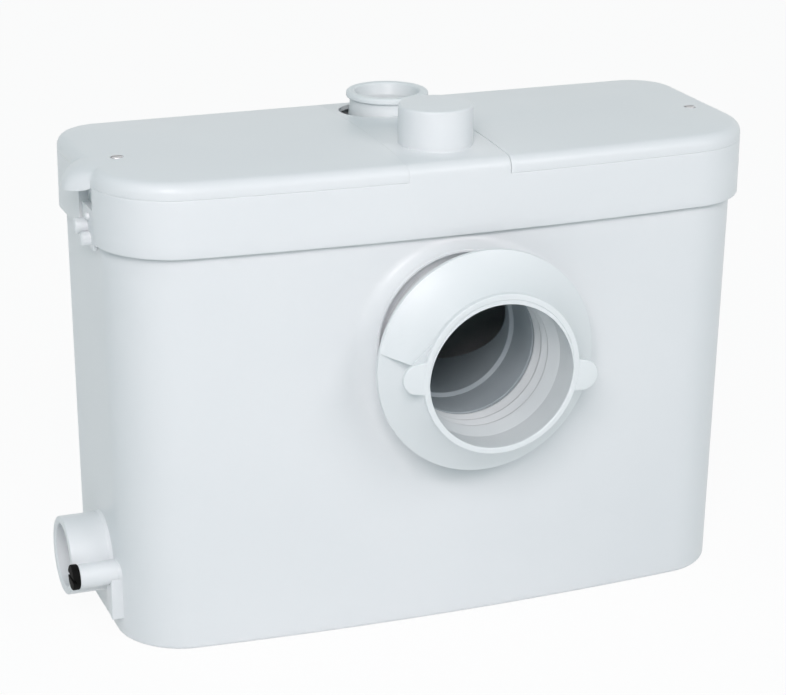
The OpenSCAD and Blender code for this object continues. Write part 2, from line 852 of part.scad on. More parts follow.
// Parts shared by both motors, side -1 for the macerator and 1 for the pump.
// The well is a cup that hangs in the deck by its rim, with three posts for the motor's ears
module motor_well(side) {
    difference() {
        union() {
            upright(side*motor_x, motor_y, can_z - well_floor_t, deck_top + well_rim_t, well_out);
            upright(side*motor_x, motor_y, deck_top, deck_top + well_rim_t, well_out + well_rim);
            upright(side*motor_x, motor_y, can_z - seal_h - seal_lip_t, can_z, seal_r + seal_boss_wall);
            for (angle = ear_angles) {
                ear = motor_ear(side, angle);
                upright(ear[0], ear[1], deck_top, can_top, post_r);
            }
        }
        upright(side*motor_x, motor_y, can_z, big, well_r);
        upright(side*motor_x, motor_y, can_z - seal_h, big, seal_r + fit_gap);
        upright(side*motor_x, motor_y, 0, big, shaft_hole_r);
        for (angle = ear_angles) {
            ear = motor_ear(side, angle);
            upright(ear[0], ear[1], deck_top + over, big, screw_r + fit_gap);
        }
    }
}

module motor_can(side) {
    difference() {
        union() {
            ring(side*motor_x, motor_y, can_z, can_top, can_r, can_r - can_wall);
            upright(side*motor_x, motor_y, can_z, can_z + bell_t, can_r - can_wall/2);
            upright(side*motor_x, motor_y, can_z, can_z + bell_t + bearing_seat + bearing_h, bearing_boss_r);
        }
        upright(side*motor_x, motor_y, can_z - over, big, shaft_hole_r);
        upright(side*motor_x, motor_y, can_z + bell_t + bearing_seat, big, bearing_r + fit_gap);
    }
}

module motor_end_bell(side) {
    difference() {
        union() {
            upright(side*motor_x, motor_y, can_top, bell_top, can_r);
            upright(side*motor_x, motor_y, can_top - bearing_seat - bearing_h, can_top + eps, bearing_boss_r);
            for (angle = ear_angles) {
                place = motor_ear(side, angle);
                hull() {
                    upright(place[0], place[1], can_top, bell_top, ear_w/2);
                    upright(side*motor_x, motor_y, can_top, bell_top, ear_w);
                }
            }
        }
        upright(side*motor_x, motor_y, 0, can_top - bearing_seat, bearing_r + fit_gap);
        upright(side*motor_x, motor_y, 0, can_top, shaft_hole_r);
        for (angle = ear_angles) {
            place = motor_ear(side, angle);
            upright(place[0], place[1], can_top - over, bell_top + over, screw_r + fit_gap);
        }
    }
}

module motor_stator(side) {
    ring(side*motor_x, motor_y, stator_z, stator_z + stator_h, can_r - can_wall - fit_gap, rotor_r + air_gap);
}

module motor_windings(side) {
    for (z = [stator_z - winding_h, stator_z + stator_h])
        ring(side*motor_x, motor_y, z, z + winding_h, winding_out, winding_in);
}

module motor_rotor(side) {
    ring(side*motor_x, motor_y, stator_z + rotor_in, stator_z + stator_h - rotor_in,
        rotor_r, shaft_r + fit_gap);
}

module motor_bearings(side) {
    for (z = [can_z + bell_t + bearing_seat, can_top - bearing_seat - bearing_h])
        ring(side*motor_x, motor_y, z, z + bearing_h, bearing_r, shaft_r + fit_gap);
}

module motor_seal(side) {
    ring(side*motor_x, motor_y, can_z - seal_h, can_z, seal_r, shaft_r + fit_gap);
}

module macerator_well() color("#1e1e1e") motor_well(-1);
module macerator_can() color("silver") motor_can(-1);
module macerator_end_bell() color("gray") motor_end_bell(-1);
module macerator_stator() color("dimgray") motor_stator(-1);
module macerator_windings() color("peru") motor_windings(-1);
module macerator_rotor() color("gray") motor_rotor(-1);
module macerator_bearings() color("silver") motor_bearings(-1);
module macerator_seal() color("black") motor_seal(-1);
module pump_well() color("#1e1e1e") motor_well(1);
module pump_can() color("silver") motor_can(1);
module pump_end_bell() color("gray") motor_end_bell(1);
module pump_stator() color("dimgray") motor_stator(1);
module pump_windings() color("peru") motor_windings(1);
module pump_rotor() color("gray") motor_rotor(1);
module pump_bearings() color("silver") motor_bearings(1);
module pump_seal() color("black") motor_seal(1);

module macerator_shaft() color("silver") {
    upright(-motor_x, motor_y, blade_z - nut_h - over, shaft_top, shaft_r);
}

module macerator_blade() color("silver") {
    difference() {
        union() {
            upright(-motor_x, motor_y, blade_z, blade_z + blade_t, blade_w/2 + basket_wall);
            intersection() {
                box([-motor_x - blade_r, motor_y - blade_w/2, blade_z],
                    [blade_r - motor_x, motor_y + blade_w/2, blade_z + blade_t]);
                upright(-motor_x, motor_y, blade_z, blade_z + blade_t, blade_r);
            }
            for (side = [-1, 1])
                translate([-motor_x + side*(blade_r - 2*blade_t), motor_y - blade_w/2, blade_z])
                    cube([blade_t, blade_w, 4*blade_t]);
        }
        upright(-motor_x, motor_y, blade_z - over, blade_z + blade_t + over, shaft_r + fit_gap);
    }
}

module macerator_blade_nut() color("goldenrod") {
    difference() {
        translate([-motor_x, motor_y, blade_z - nut_h]) cylinder(h = nut_h, r = nut_r, $fn = 6);
        upright(-motor_x, motor_y, 0, blade_z + over, shaft_r + fit_gap);
    }
}

module grinder_basket() color("gainsboro") {
    top = basket_z + basket_h;
    low_x = -chute_start;
    difference() {
        ring(-motor_x, motor_y, basket_z, top, basket_r, basket_r - basket_wall);
        for (i = [0:basket_slots - 1])
            translate([-motor_x, motor_y, basket_z + basket_floor_t + slot_w])
                rotate([0, 0, i*360/basket_slots])
                    translate([basket_r - 2*basket_wall, -slot_w/2, 0]) cube([4*basket_wall, slot_w, slot_h]);
        box([-motor_x, chute_front, chute_low + chute_t], [0, chute_front + chute_w, top + over]);
    }
    upright(-motor_x, motor_y, basket_z, basket_z + basket_floor_t, basket_r - basket_wall/2);
    for (angle = foot_angles)
        upright(-motor_x + foot_ring*cos(angle), motor_y + foot_ring*sin(angle),
            floor_t, basket_z + eps, foot_post_r);
    translate([0, chute_front + chute_w, 0]) rotate([90, 0, 0]) {
        linear_extrude(height = chute_w)
            polygon([[low_x, chute_low], [chute_end, chute_high], [chute_end, chute_high + chute_t],
                [low_x, chute_low + chute_t]]);
        for (y = [-chute_t, chute_w])
            translate([0, 0, y]) linear_extrude(height = chute_t)
                polygon([[low_x, chute_low], [chute_end, chute_high], [chute_end, chute_high + chute_side],
                    [low_x, chute_low + chute_side]]);
    }
    upright(chute_end - 2*foot_post_r, chute_front + chute_w/2, floor_t, chute_high - foot_post_r,
        foot_post_r);
}

module pump_shaft() color("silver") {
    upright(motor_x, motor_y, impeller_z - over, shaft_top, shaft_r);
}

module impeller() color("goldenrod") {
    top = impeller_z + vane_h + shroud_t;
    difference() {
        union() {
            upright(motor_x, motor_y, impeller_z + vane_h, top, impeller_r);
            upright(motor_x, motor_y, impeller_z + nut_h, top + shroud_t/2, hub_r);
            for (i = [0:vane_count - 1])
                translate([motor_x, motor_y, impeller_z]) rotate([0, 0, i*360/vane_count])
                    translate([hub_r - vane_t/2, hub_r/2, 0]) rotate([0, 0, -vane_turn])
                        cube([impeller_r - hub_r - 2*vane_t, vane_t, vane_h + eps]);
        }
        upright(motor_x, motor_y, impeller_z - over, top + shroud_t, shaft_r + fit_gap);
    }
}

module impeller_nut() color("silver") {
    difference() {
        translate([motor_x, motor_y, impeller_z]) cylinder(h = nut_h, r = nut_r, $fn = 6);
        upright(motor_x, motor_y, impeller_z - over, impeller_z + nut_h + over, shaft_r + fit_gap);
    }
}

module volute() color("darkgray") {
    top = volute_z + volute_h;
    difference() {
        union() {
            upright(motor_x, motor_y, volute_z, top, chamber_r + volute_wall);
            upright(motor_x, motor_y, volute_z, volute_z + flange_h, plate_r);
            along_x(nozzle_end, motor_x, spout_back, nozzle_z, nozzle_r + riser_wall);
        }
        upright(motor_x, motor_y, volute_z - over, top - volute_wall, chamber_r);
        upright(motor_x, motor_y, volute_z, top + over, shaft_hole_r);
        along_x(nozzle_end - over, motor_x, spout_back, nozzle_z, nozzle_r);
        for (angle = volute_screw_angles)
            upright(motor_x + volute_screw_ring*cos(angle), motor_y + volute_screw_ring*sin(angle),
                volute_z - over, volute_z + flange_h + over, screw_r + fit_gap);
    }
}

module suction_plate() color("darkgray") {
    difference() {
        union() {
            upright(motor_x, motor_y, plate_z, volute_z, plate_r);
            for (angle = foot_angles)
                upright(motor_x + foot_ring*cos(angle), motor_y + foot_ring*sin(angle),
                    floor_t, plate_z + eps, foot_post_r);
        }
        upright(motor_x, motor_y, 0, big, suction_r);
        for (angle = volute_screw_angles)
            upright(motor_x + volute_screw_ring*cos(angle), motor_y + volute_screw_ring*sin(angle),
                plate_z - over, volute_z + over, screw_r + fit_gap);
    }
}

module volute_screws() color("silver") {
    for (angle = volute_screw_angles)
        translate([motor_x + volute_screw_ring*cos(angle), motor_y + volute_screw_ring*sin(angle), plate_z])
            mirror([0, 0, 1]) screw(0, 0, 0, plate_t + flange_h);
}

module motor_screws() color("silver") {
    for (side = [-1, 1]) for (angle = ear_angles) {
        place = motor_ear(side, angle);
        screw(place[0], place[1], bell_top, bell_top - deck_top - screw_tip_gap);
    }
}

module riser_pipe() color("darkgray") {
    difference() {
        union() {
            upright(spout_x, spout_back, nozzle_z - riser_r - riser_wall, valve_z, riser_r + riser_wall);
            along_x(spout_x, nozzle_end, spout_back, nozzle_z, riser_r + riser_wall);
        }
        upright(spout_x, spout_back, nozzle_z - riser_r, valve_z + over, riser_r);
        along_x(spout_x, nozzle_end + over, spout_back, nozzle_z, riser_r);
    }
}

module valve_body() color("darkgray") {
    floor_top = valve_z + valve_floor_t;
    ear_off = check_knuckle_w/2 + ear_gap;
    difference() {
        union() {
            ring(spout_x, spout_back, valve_z, valve_top, valve_out, valve_in);
            upright(spout_x, spout_back, valve_z, floor_top, valve_in + valve_wall/2);
            for (ear_x = [spout_x - ear_off - ear_t, spout_x + ear_off])
                box([ear_x, check_pin_y - knuckle_r, floor_top - eps],
                    [ear_x + ear_t, check_pin_y + knuckle_r, check_pin_z + knuckle_r]);
        }
        upright(spout_x, spout_back, 0, big, seat_r);
        along_x(-big, big, check_pin_y, check_pin_z, pin_r + fit_gap);
    }
}

module check_flap() color("dimgray") {
    floor_top = valve_z + valve_floor_t;
    half = check_knuckle_w/2;
    difference() {
        union() {
            upright(spout_x, spout_back, floor_top, floor_top + flap_t, check_flap_r);
            along_x(spout_x - half, spout_x + half, check_pin_y, check_pin_z, knuckle_r);
            box([spout_x - half, spout_back + seat_r, floor_top + ear_gap],
                [spout_x + half, check_pin_y, floor_top + flap_t]);
        }
        along_x(-big, big, check_pin_y, check_pin_z, pin_r + fit_gap);
    }
}

module check_flap_pin() color("silver") {
    half = check_knuckle_w/2 + ear_gap + ear_t;
    along_x(spout_x - half, spout_x + half, check_pin_y, check_pin_z, pin_r);
}

module pressure_bell() color("gainsboro") {
    difference() {
        union() {
            upright(switch_x, switch_y, bell_low, deck_top + eps, bell_r);
            upright(switch_x, switch_y, deck_top, deck_top + cup_t, switch_r);
        }
        upright(switch_x, switch_y, bell_low - over, deck_top + cup_t + over, bell_r - bell_wall);
    }
}

module switch_membrane() color("black") {
    upright(switch_x, switch_y, deck_top + cup_t, deck_top + cup_t + membrane_t, switch_r - membrane_t);
}

module pressure_switch() color("darkslategray") {
    low = deck_top + cup_t + membrane_t;
    difference() {
        upright(switch_x, switch_y, low, low + switch_h, switch_r);
        upright(switch_x, switch_y, low - over, low + switch_h - cup_t, switch_r - switch_wall);
        upright(switch_x, switch_y, low, low + switch_h + over, plunger_r + slip_gap);
    }
}

module switch_plunger() color("ivory") {
    low = deck_top + cup_t + membrane_t;
    upright(switch_x, switch_y, low, low + foot_t, plunger_foot_r);
    upright(switch_x, switch_y, low + foot_t - eps, low + switch_h + foot_t, plunger_r);
}

module microswitch() color("black") {
    low = deck_top + cup_t + membrane_t + switch_h;
    difference() {
        translate([switch_x - micro_size[0]/2, switch_y - micro_size[1]/2, low]) cube(micro_size);
        upright(switch_x, switch_y, low - over, low + foot_t + plunger_rise + slip_gap, plunger_r + slip_gap);
    }
}

module run_capacitors() color("gray") {
    near = motor_x - cap_can_in - cap_can_l;
    for (x = [near, -near - cap_can_l])
        along_x(x, x + cap_can_l, cap_can_y, deck_top + cap_can_r + slip_gap, cap_can_r);
}

module terminal_block() color("ivory") {
    translate([block_at[0] - block_size[0]/2, block_at[1] - block_size[1]/2, deck_top]) difference() {
        cube(block_size);
        for (i = [0:block_poles - 1])
            translate([block_size[0]/2, block_size[1]*(i + 0.5)/block_poles, block_size[2]/2])
                cylinder(h = block_size[2], r = block_screw_r);
    }
}

tank();
main_lid();
lid_gasket();
lid_screws();
left_cover();
right_cover();
left_cover_screw();
right_cover_screw();
vent_cap();
carbon_filter();
discharge_spout();
pan_connector();
inlet_tube();
side_inlet();
side_flap();
side_flap_pin();
spigot_plug();
cord_grip();
macerator_well();
macerator_can();
macerator_end_bell();
macerator_stator();
macerator_windings();
macerator_shaft();
macerator_rotor();
macerator_bearings();
macerator_seal();
macerator_blade();
macerator_blade_nut();
grinder_basket();
pump_well();
pump_can();
pump_end_bell();
pump_stator();
pump_windings();
pump_shaft();
pump_rotor();
pump_bearings();
pump_seal();
impeller();
impeller_nut();
volute();
suction_plate();
volute_screws();
motor_screws();
riser_pipe();
valve_body();
check_flap();
check_flap_pin();
pressure_bell();
switch_membrane();
pressure_switch();
switch_plunger();
microswitch();
run_capacitors();
terminal_block();
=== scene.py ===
"""Looks of a macerator toilet pump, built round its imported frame.

Sizes are in millimetres in the frame's own axes, and become metres when a piece is made.
"""

import json
import logging
import math
from dataclasses import dataclass
from enum import Enum
from typing import Callable, Sequence

import bmesh
import bpy
import numpy as np
from mathutils import Matrix, Vector


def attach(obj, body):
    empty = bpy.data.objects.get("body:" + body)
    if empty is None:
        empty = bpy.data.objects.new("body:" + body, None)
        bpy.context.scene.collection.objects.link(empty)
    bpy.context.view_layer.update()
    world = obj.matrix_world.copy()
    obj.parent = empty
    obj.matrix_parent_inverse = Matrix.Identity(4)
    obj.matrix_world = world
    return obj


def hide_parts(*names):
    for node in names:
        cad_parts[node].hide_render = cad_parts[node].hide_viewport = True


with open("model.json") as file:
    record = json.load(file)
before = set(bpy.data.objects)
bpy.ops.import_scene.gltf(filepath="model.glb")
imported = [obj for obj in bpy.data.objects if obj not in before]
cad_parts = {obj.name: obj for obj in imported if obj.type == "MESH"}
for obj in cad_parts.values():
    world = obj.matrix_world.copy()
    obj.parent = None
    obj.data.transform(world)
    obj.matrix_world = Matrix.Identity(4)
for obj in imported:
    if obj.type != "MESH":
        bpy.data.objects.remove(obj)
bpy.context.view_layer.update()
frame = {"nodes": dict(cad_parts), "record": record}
LOG = logging.getLogger("macerator_pump")
MM = 0.001
FAR = 400.0
Colour = tuple[float, float, float]
Setting = dict[str, object]
Spot = tuple[float, float]
Place = tuple[float, float, float]
Profile = Sequence[Place]

# Axes that several pieces share
PAN_AT: Spot = (13.0, 194.0)
STUB_AT: Spot = (-2.0, 47.0)
SPIGOT_AT: Spot = (-37.0, 46.0)
VENT_AT: Spot = (0.0, -51.0)
COLUMN_AT: Spot = (2.8, 46.0)


# Shader nodes

class Wire:
    """A value in a material's nodes, which Python's operators extend."""

    def __init__(self, tree: "NodeTree", socket: bpy.types.NodeSocket) -> None:
        """Keeps the tree and the output socket."""
        self.tree = tree
        self.socket = socket

    def _maths(self, operation: str, *values: object) -> "Wire":
        """Adds a Math node on these values."""
        return self.tree.node("ShaderNodeMath", {"operation": operation}, dict(enumerate(values)))

    def __add__(self, other: object) -> "Wire":
        """Sum."""
        return self._maths("ADD", self, other)

    __radd__ = __add__

    def __sub__(self, other: object) -> "Wire":
        """Difference."""
        return self._maths("SUBTRACT", self, other)

    def __rsub__(self, other: object) -> "Wire":
        """Difference with the value on the right."""
        return self._maths("SUBTRACT", other, self)

    def __mul__(self, other: object) -> "Wire":
        """Product."""
        return self._maths("MULTIPLY", self, other)

    __rmul__ = __mul__

    def __pow__(self, other: object) -> "Wire":
        """Power."""
        return self._maths("POWER", self, other)

    def most(self, other: object) -> "Wire":
        """The larger of two values."""
        return self._maths("MAXIMUM", self, other)

    def within(self) -> "Wire":
        """The value held between 0 and 1."""
        return self.tree.node("ShaderNodeClamp", {}, {"Value": self})


class NodeTree:
    """Nodes of one material or of the world."""

    def __init__(self, holder: bpy.types.ID) -> None:
        """Empties the holder's node tree."""
        holder.use_nodes = True
        self.tree = holder.node_tree
        self.tree.nodes.clear()

    def node(self, kind: str, settings: Setting, inputs: dict, output: int | str = 0) -> Wire:
        """Adds a node.

        Args:
            kind: Blender's name of the node type.
            settings: properties that are set first; "stops" holds a ramp's (place, colour) pairs.
            inputs: values or wires by socket name or number.
            output: the output socket that the wire carries.

        Returns:
            The wire from that output.
        """
        made = self.tree.nodes.new(kind)
        for key, value in settings.items():
            if key == "stops":
                ramp = made.color_ramp.elements
                while len(ramp) < len(value):
                    ramp.new(1.0)
                for stop, (place, colour) in zip(ramp, value):
                    stop.position = place
                    stop.color = colour
            else:
                setattr(made, key, value)
        for key, value in inputs.items():
            if isinstance(value, Wire):
                self.tree.links.new(value.socket, made.inputs[key])
            else:
                made.inputs[key].default_value = value
        return Wire(self, made.outputs[output]) if len(made.outputs) else None

    def place(self) -> Wire:
        """Coordinates in the frame's own axes, in metres."""
        return self.node("ShaderNodeTexCoord", {}, {}, "Object")

    def stretched(self, scale: Colour) -> Wire:
        """Coordinates stretched along the frame's axes."""
        return self.node("ShaderNodeMapping", {}, {"Vector": self.place(), "Scale": scale})

    def noise(self, where: Wire, scale: float, detail: float = 2.0) -> Wire:
        """Cloudy noise around one half."""
        return self.node("ShaderNodeTexNoise", {}, {"Vector": where, "Scale": scale, "Detail": detail})

    def blend(self, share: Wire, low: Colour, high: Colour) -> Wire:
        """Colour between two colours."""
        return self.node("ShaderNodeMix", {"data_type": "RGBA"},
                         {"Factor": share, 6: (*low, 1.0), 7: (*high, 1.0)}, 2)

    def bump(self, height: Wire, strength: float, distance: float) -> Wire:
        """Normal that follows a height, the distance in metres."""
        return self.node("ShaderNodeBump", {},
                         {"Height": height, "Strength": strength, "Distance": distance})

    def surface(self, shader: Wire, target: str = "ShaderNodeOutputMaterial") -> None:
        """Leads a shader to the output."""
        self.node(target, {}, {"Surface": shader})


# Finishes

@dataclass(frozen=True)
class Finish:
    """What every finish has: a name, a main colour, a second colour for its variation and a roughness."""

    name: str
    colour: Colour
    shade: Colour
    rough: float

    def material(self) -> bpy.types.Material:
        """The finish's material, made once.

        Returns:
            The material with its nodes.
        """
        found = bpy.data.materials.get(self.name)
        if found:
            return found
        made = bpy.data.materials.new(self.name)
        tree = NodeTree(made)
        tree.surface(tree.node("ShaderNodeBsdfPrincipled", {}, self.inputs(tree)))
        return made

    def inputs(self, tree: NodeTree) -> dict:
        """Inputs of the main shader.

        Args:
            tree: the material's nodes.

        Returns:
            Values and wires by socket name.
        """
        raise NotImplementedError


@dataclass(frozen=True)
class Moulded(Finish):
    """Injection-moulded plastic or soft rubber: slow clouds, fine grain and a faint orange peel."""

    swing: float = 0.06
    peel: float = 0.05
    grain: float = 0.04
    specular: float = 0.5
    coat: float = 0.0

    def inputs(self, tree: NodeTree) -> dict:
        """Clouds tint the colour, grain and peel move roughness and normal.

        Args:
            tree: the material's nodes.

        Returns:
            Values and wires by socket name.
        """
        where = tree.place()
        cloud = tree.noise(where, 9.0)
        peel = tree.noise(where, 160.0, 1.0)
        grain = tree.noise(where, 1500.0)
        shine = self.rough + (cloud - 0.5) * self.swing + (grain - 0.5) * self.swing
        height = peel * self.peel + grain * self.grain
        return {"Base Color": tree.blend(((cloud - 0.5) * 1.6 + 0.5 + (grain - 0.5) * 0.3).within(),
                                         self.colour, self.shade),
                "Roughness": shine, "Normal": tree.bump(height, 0.6, 0.0006),
                "Specular IOR Level": self.specular, "Coat Weight": self.coat, "Coat Roughness": 0.12}


@dataclass(frozen=True)
class Metal(Finish):
    """Drawn, ground or brushed metal with lines along one axis and dull spots."""

    lines: Colour = (1.0, 1.0, 30.0)
    depth: float = 0.15
    dull: float = 0.15

    def inputs(self, tree: NodeTree) -> dict:
        """Fine lines and dull spots move colour, roughness and normal.

        Args:
            tree: the material's nodes.

        Returns:
            Values and wires by socket name.
        """
        lines = tree.noise(tree.stretched(self.lines), 90.0, 3.0)
        spots = tree.noise(tree.place(), 45.0, 4.0)
        share = (lines * 0.6 + spots * 0.5 - 0.05).within()
        return {"Base Color": tree.blend(share, self.colour, self.shade), "Metallic": 1.0,
                "Roughness": self.rough + (spots - 0.5) * self.dull + (lines - 0.5) * 0.12,
                "Normal": tree.bump(lines, self.depth, 0.0002)}


@dataclass(frozen=True)
class Stacked(Finish):
    """Sheet laminations or wound wire: ridges stacked along the upright."""

    pitch: float = 0.001
    metallic: float = 0.9
    depth: float = 0.7

    def inputs(self, tree: NodeTree) -> dict:
        """Upright waves move colour and normal, with noise against evenness.

        Args:
            tree: the material's nodes.

        Returns:
            Values and wires by socket name.
        """
        wave = tree.node("ShaderNodeTexWave", {"wave_type": "BANDS", "bands_direction": "Z"},
                         {"Vector": tree.place(), "Scale": 0.314 / self.pitch, "Distortion": 0.6,
                          "Detail": 1.0}, "Fac")
        spots = tree.noise(tree.place(), 120.0, 3.0)
        return {"Base Color": tree.blend((wave * 0.7 + spots * 0.3).within(), self.shade, self.colour),
                "Metallic": self.metallic, "Roughness": self.rough + (spots - 0.5) * 0.2,
                "Normal": tree.bump(wave, self.depth, self.pitch / 3)}


@dataclass(frozen=True)
class Felted(Finish):
    """Matted fibres."""

    fibre: float = 900.0

    def inputs(self, tree: NodeTree) -> dict:
        """Fibre noise at two sizes moves colour and normal.

        Args:
            tree: the material's nodes.

        Returns:
            Values and wires by socket name.
        """
        fine = tree.noise(tree.place(), self.fibre, 4.0)
        tuft = tree.noise(tree.place(), self.fibre / 7, 3.0)
        height = fine * 0.6 + tuft * 0.4
        return {"Base Color": tree.blend(height.within(), self.shade, self.colour),
                "Roughness": self.rough + (fine - 0.5) * 0.1, "Normal": tree.bump(height, 0.9, 0.0012)}


FINISHES: dict[str, Finish] = {
    "white_abs": Moulded("white_abs_finish", (0.815, 0.828, 0.840), (0.790, 0.806, 0.822), 0.34,
                         specular=0.35, coat=0.05),
    "white_rubber": Moulded("white_rubber_finish", (0.800, 0.824, 0.834), (0.775, 0.803, 0.816), 0.40,
                            swing=0.08, peel=0.03),
    "grey_pipe": Moulded("grey_pipe_finish", (0.440, 0.490, 0.520), (0.405, 0.455, 0.487), 0.36),
    # grey_plastic: dark grey plastic set nearly black as painted shade, so the parts seen through the pan
    # opening carry the tank's unlit inside
    "grey_plastic": Moulded("grey_plastic_painted_shade_finish", (0.045, 0.047, 0.050), (0.036, 0.038, 0.041), 0.45),
    # black_plastic: black plastic pushed to almost no colour and little gloss as painted shade, so the
    # tank's inside seen through the pan opening reads black
    "black_plastic": Moulded("black_plastic_painted_shade_finish", (0.004, 0.004, 0.004), (0.006, 0.006, 0.006), 0.66,
                             specular=0.06),
    "black_rubber": Moulded("black_rubber_finish", (0.018, 0.018, 0.018), (0.030, 0.029, 0.028), 0.62,
                            peel=0.02, grain=0.12, specular=0.3),
    "ivory_plastic": Moulded("ivory_plastic_finish", (0.74, 0.68, 0.54), (0.70, 0.63, 0.48), 0.40),
    "amber_plastic": Moulded("amber_plastic_finish", (0.42, 0.24, 0.07), (0.36, 0.19, 0.05), 0.38),
    "steel": Metal("zinc_steel_finish", (0.56, 0.57, 0.58), (0.46, 0.46, 0.47), 0.36,
                   lines=(9.0, 9.0, 9.0)),
    "blade_steel": Metal("blade_steel_finish", (0.66, 0.66, 0.67), (0.52, 0.52, 0.53), 0.30,
                         lines=(1.0, 24.0, 24.0)),
    "shaft_steel": Metal("shaft_steel_finish", (0.66, 0.66, 0.67), (0.56, 0.56, 0.57), 0.22),
    "can_metal": Metal("drawn_can_finish", (0.62, 0.63, 0.64), (0.50, 0.51, 0.52), 0.34,
                       lines=(26.0, 26.0, 1.5)),
    "lamination": Stacked("lamination_finish", (0.30, 0.30, 0.31), (0.16, 0.16, 0.17), 0.48),
    "copper": Stacked("copper_wire_finish", (0.66, 0.30, 0.14), (0.34, 0.13, 0.06), 0.32, pitch=0.0012),
    "brass": Metal("turned_brass_finish", (0.72, 0.55, 0.24), (0.58, 0.42, 0.17), 0.30),
    "bearing_steel": Metal("bearing_steel_finish", (0.72, 0.72, 0.73), (0.62, 0.62, 0.63), 0.16,
                           depth=0.05),
    "charcoal_felt": Felted("charcoal_felt_finish", (0.035, 0.034, 0.033), (0.010, 0.010, 0.010), 0.92),
}


# Mesh tools

class Join(Enum):
    """How two solids combine."""

    CUT = "DIFFERENCE"
    ADD = "UNION"


class Axis(Enum):
    """Which way a turned piece's axis points, as the images of its own X, Y and Z."""

    UP = ((1, 0, 0), (0, 1, 0), (0, 0, 1))
    FRONT = ((1, 0, 0), (0, 0, 1), (0, -1, 0))
    RIGHT = ((0, 1, 0), (0, 0, 1), (1, 0, 0))

    def put(self, points: np.ndarray, centre: Sequence[float]) -> np.ndarray:
        """Points turned to this axis and moved to the centre."""
        return points @ np.array(self.value, float) + np.array(centre, float)


def quarter(cx: float, cy: float, r: float, start: float, steps: int) -> np.ndarray:
    """Points of a quarter circle about (cx, cy) from an angle in degrees."""
    t = np.radians(start + 90 * np.linspace(0, 1, steps + 1))
    return np.stack([cx + r * np.cos(t), cy + r * np.sin(t)], 1)


def circle(steps: int) -> np.ndarray:
    """Angles of a full turn in equal steps."""
    return np.linspace(0, 2 * math.pi, steps, endpoint=False)


def hoop(t: np.ndarray, r: float | np.ndarray, h: float = 0.0) -> np.ndarray:
    """Points of a flat ring of radius r at the angles t and the height h."""
    return np.stack([r * np.cos(t), r * np.sin(t), np.full(len(t), h)], 1)


def rounded(corners: Profile, steps: int = 5) -> np.ndarray:
    """Closed outline whose corners are rounded.

    Args:
        corners: (x, y, radius) of each corner; a radius of 0 leaves it sharp.
        steps: parts of each rounding.

    Returns:
        The outline's points.
    """
    made: list[np.ndarray] = []
    count = len(corners)
    for i, (x, y, r) in enumerate(corners):
        here = np.array([x, y])
        if r <= 0:
            made.append(here[None])
            continue
        to_last = np.array(corners[i - 1][:2]) - here
        to_next = np.array(corners[(i + 1) % count][:2]) - here
        reach = min(np.linalg.norm(to_last), np.linalg.norm(to_next))
        u, v = to_last / np.linalg.norm(to_last), to_next / np.linalg.norm(to_next)
        half = math.acos(float(np.clip(u @ v, -1, 1))) / 2
        if half > math.pi / 2 - 0.02:
            made.append(here[None])
            continue
        back = min(r / math.tan(half), 0.48 * reach)
        r = back * math.tan(half)
        middle = here + (u + v) / np.linalg.norm(u + v) * (r / math.sin(half))
        a, b = here + u * back - middle, here + v * back - middle
        turn = math.atan2(a[0] * b[1] - a[1] * b[0], float(a @ b))
        angles = math.atan2(a[1], a[0]) + turn * np.linspace(0, 1, steps + 1)
        made.append(middle + r * np.stack([np.cos(angles), np.sin(angles)], 1))
    return np.vstack(made)


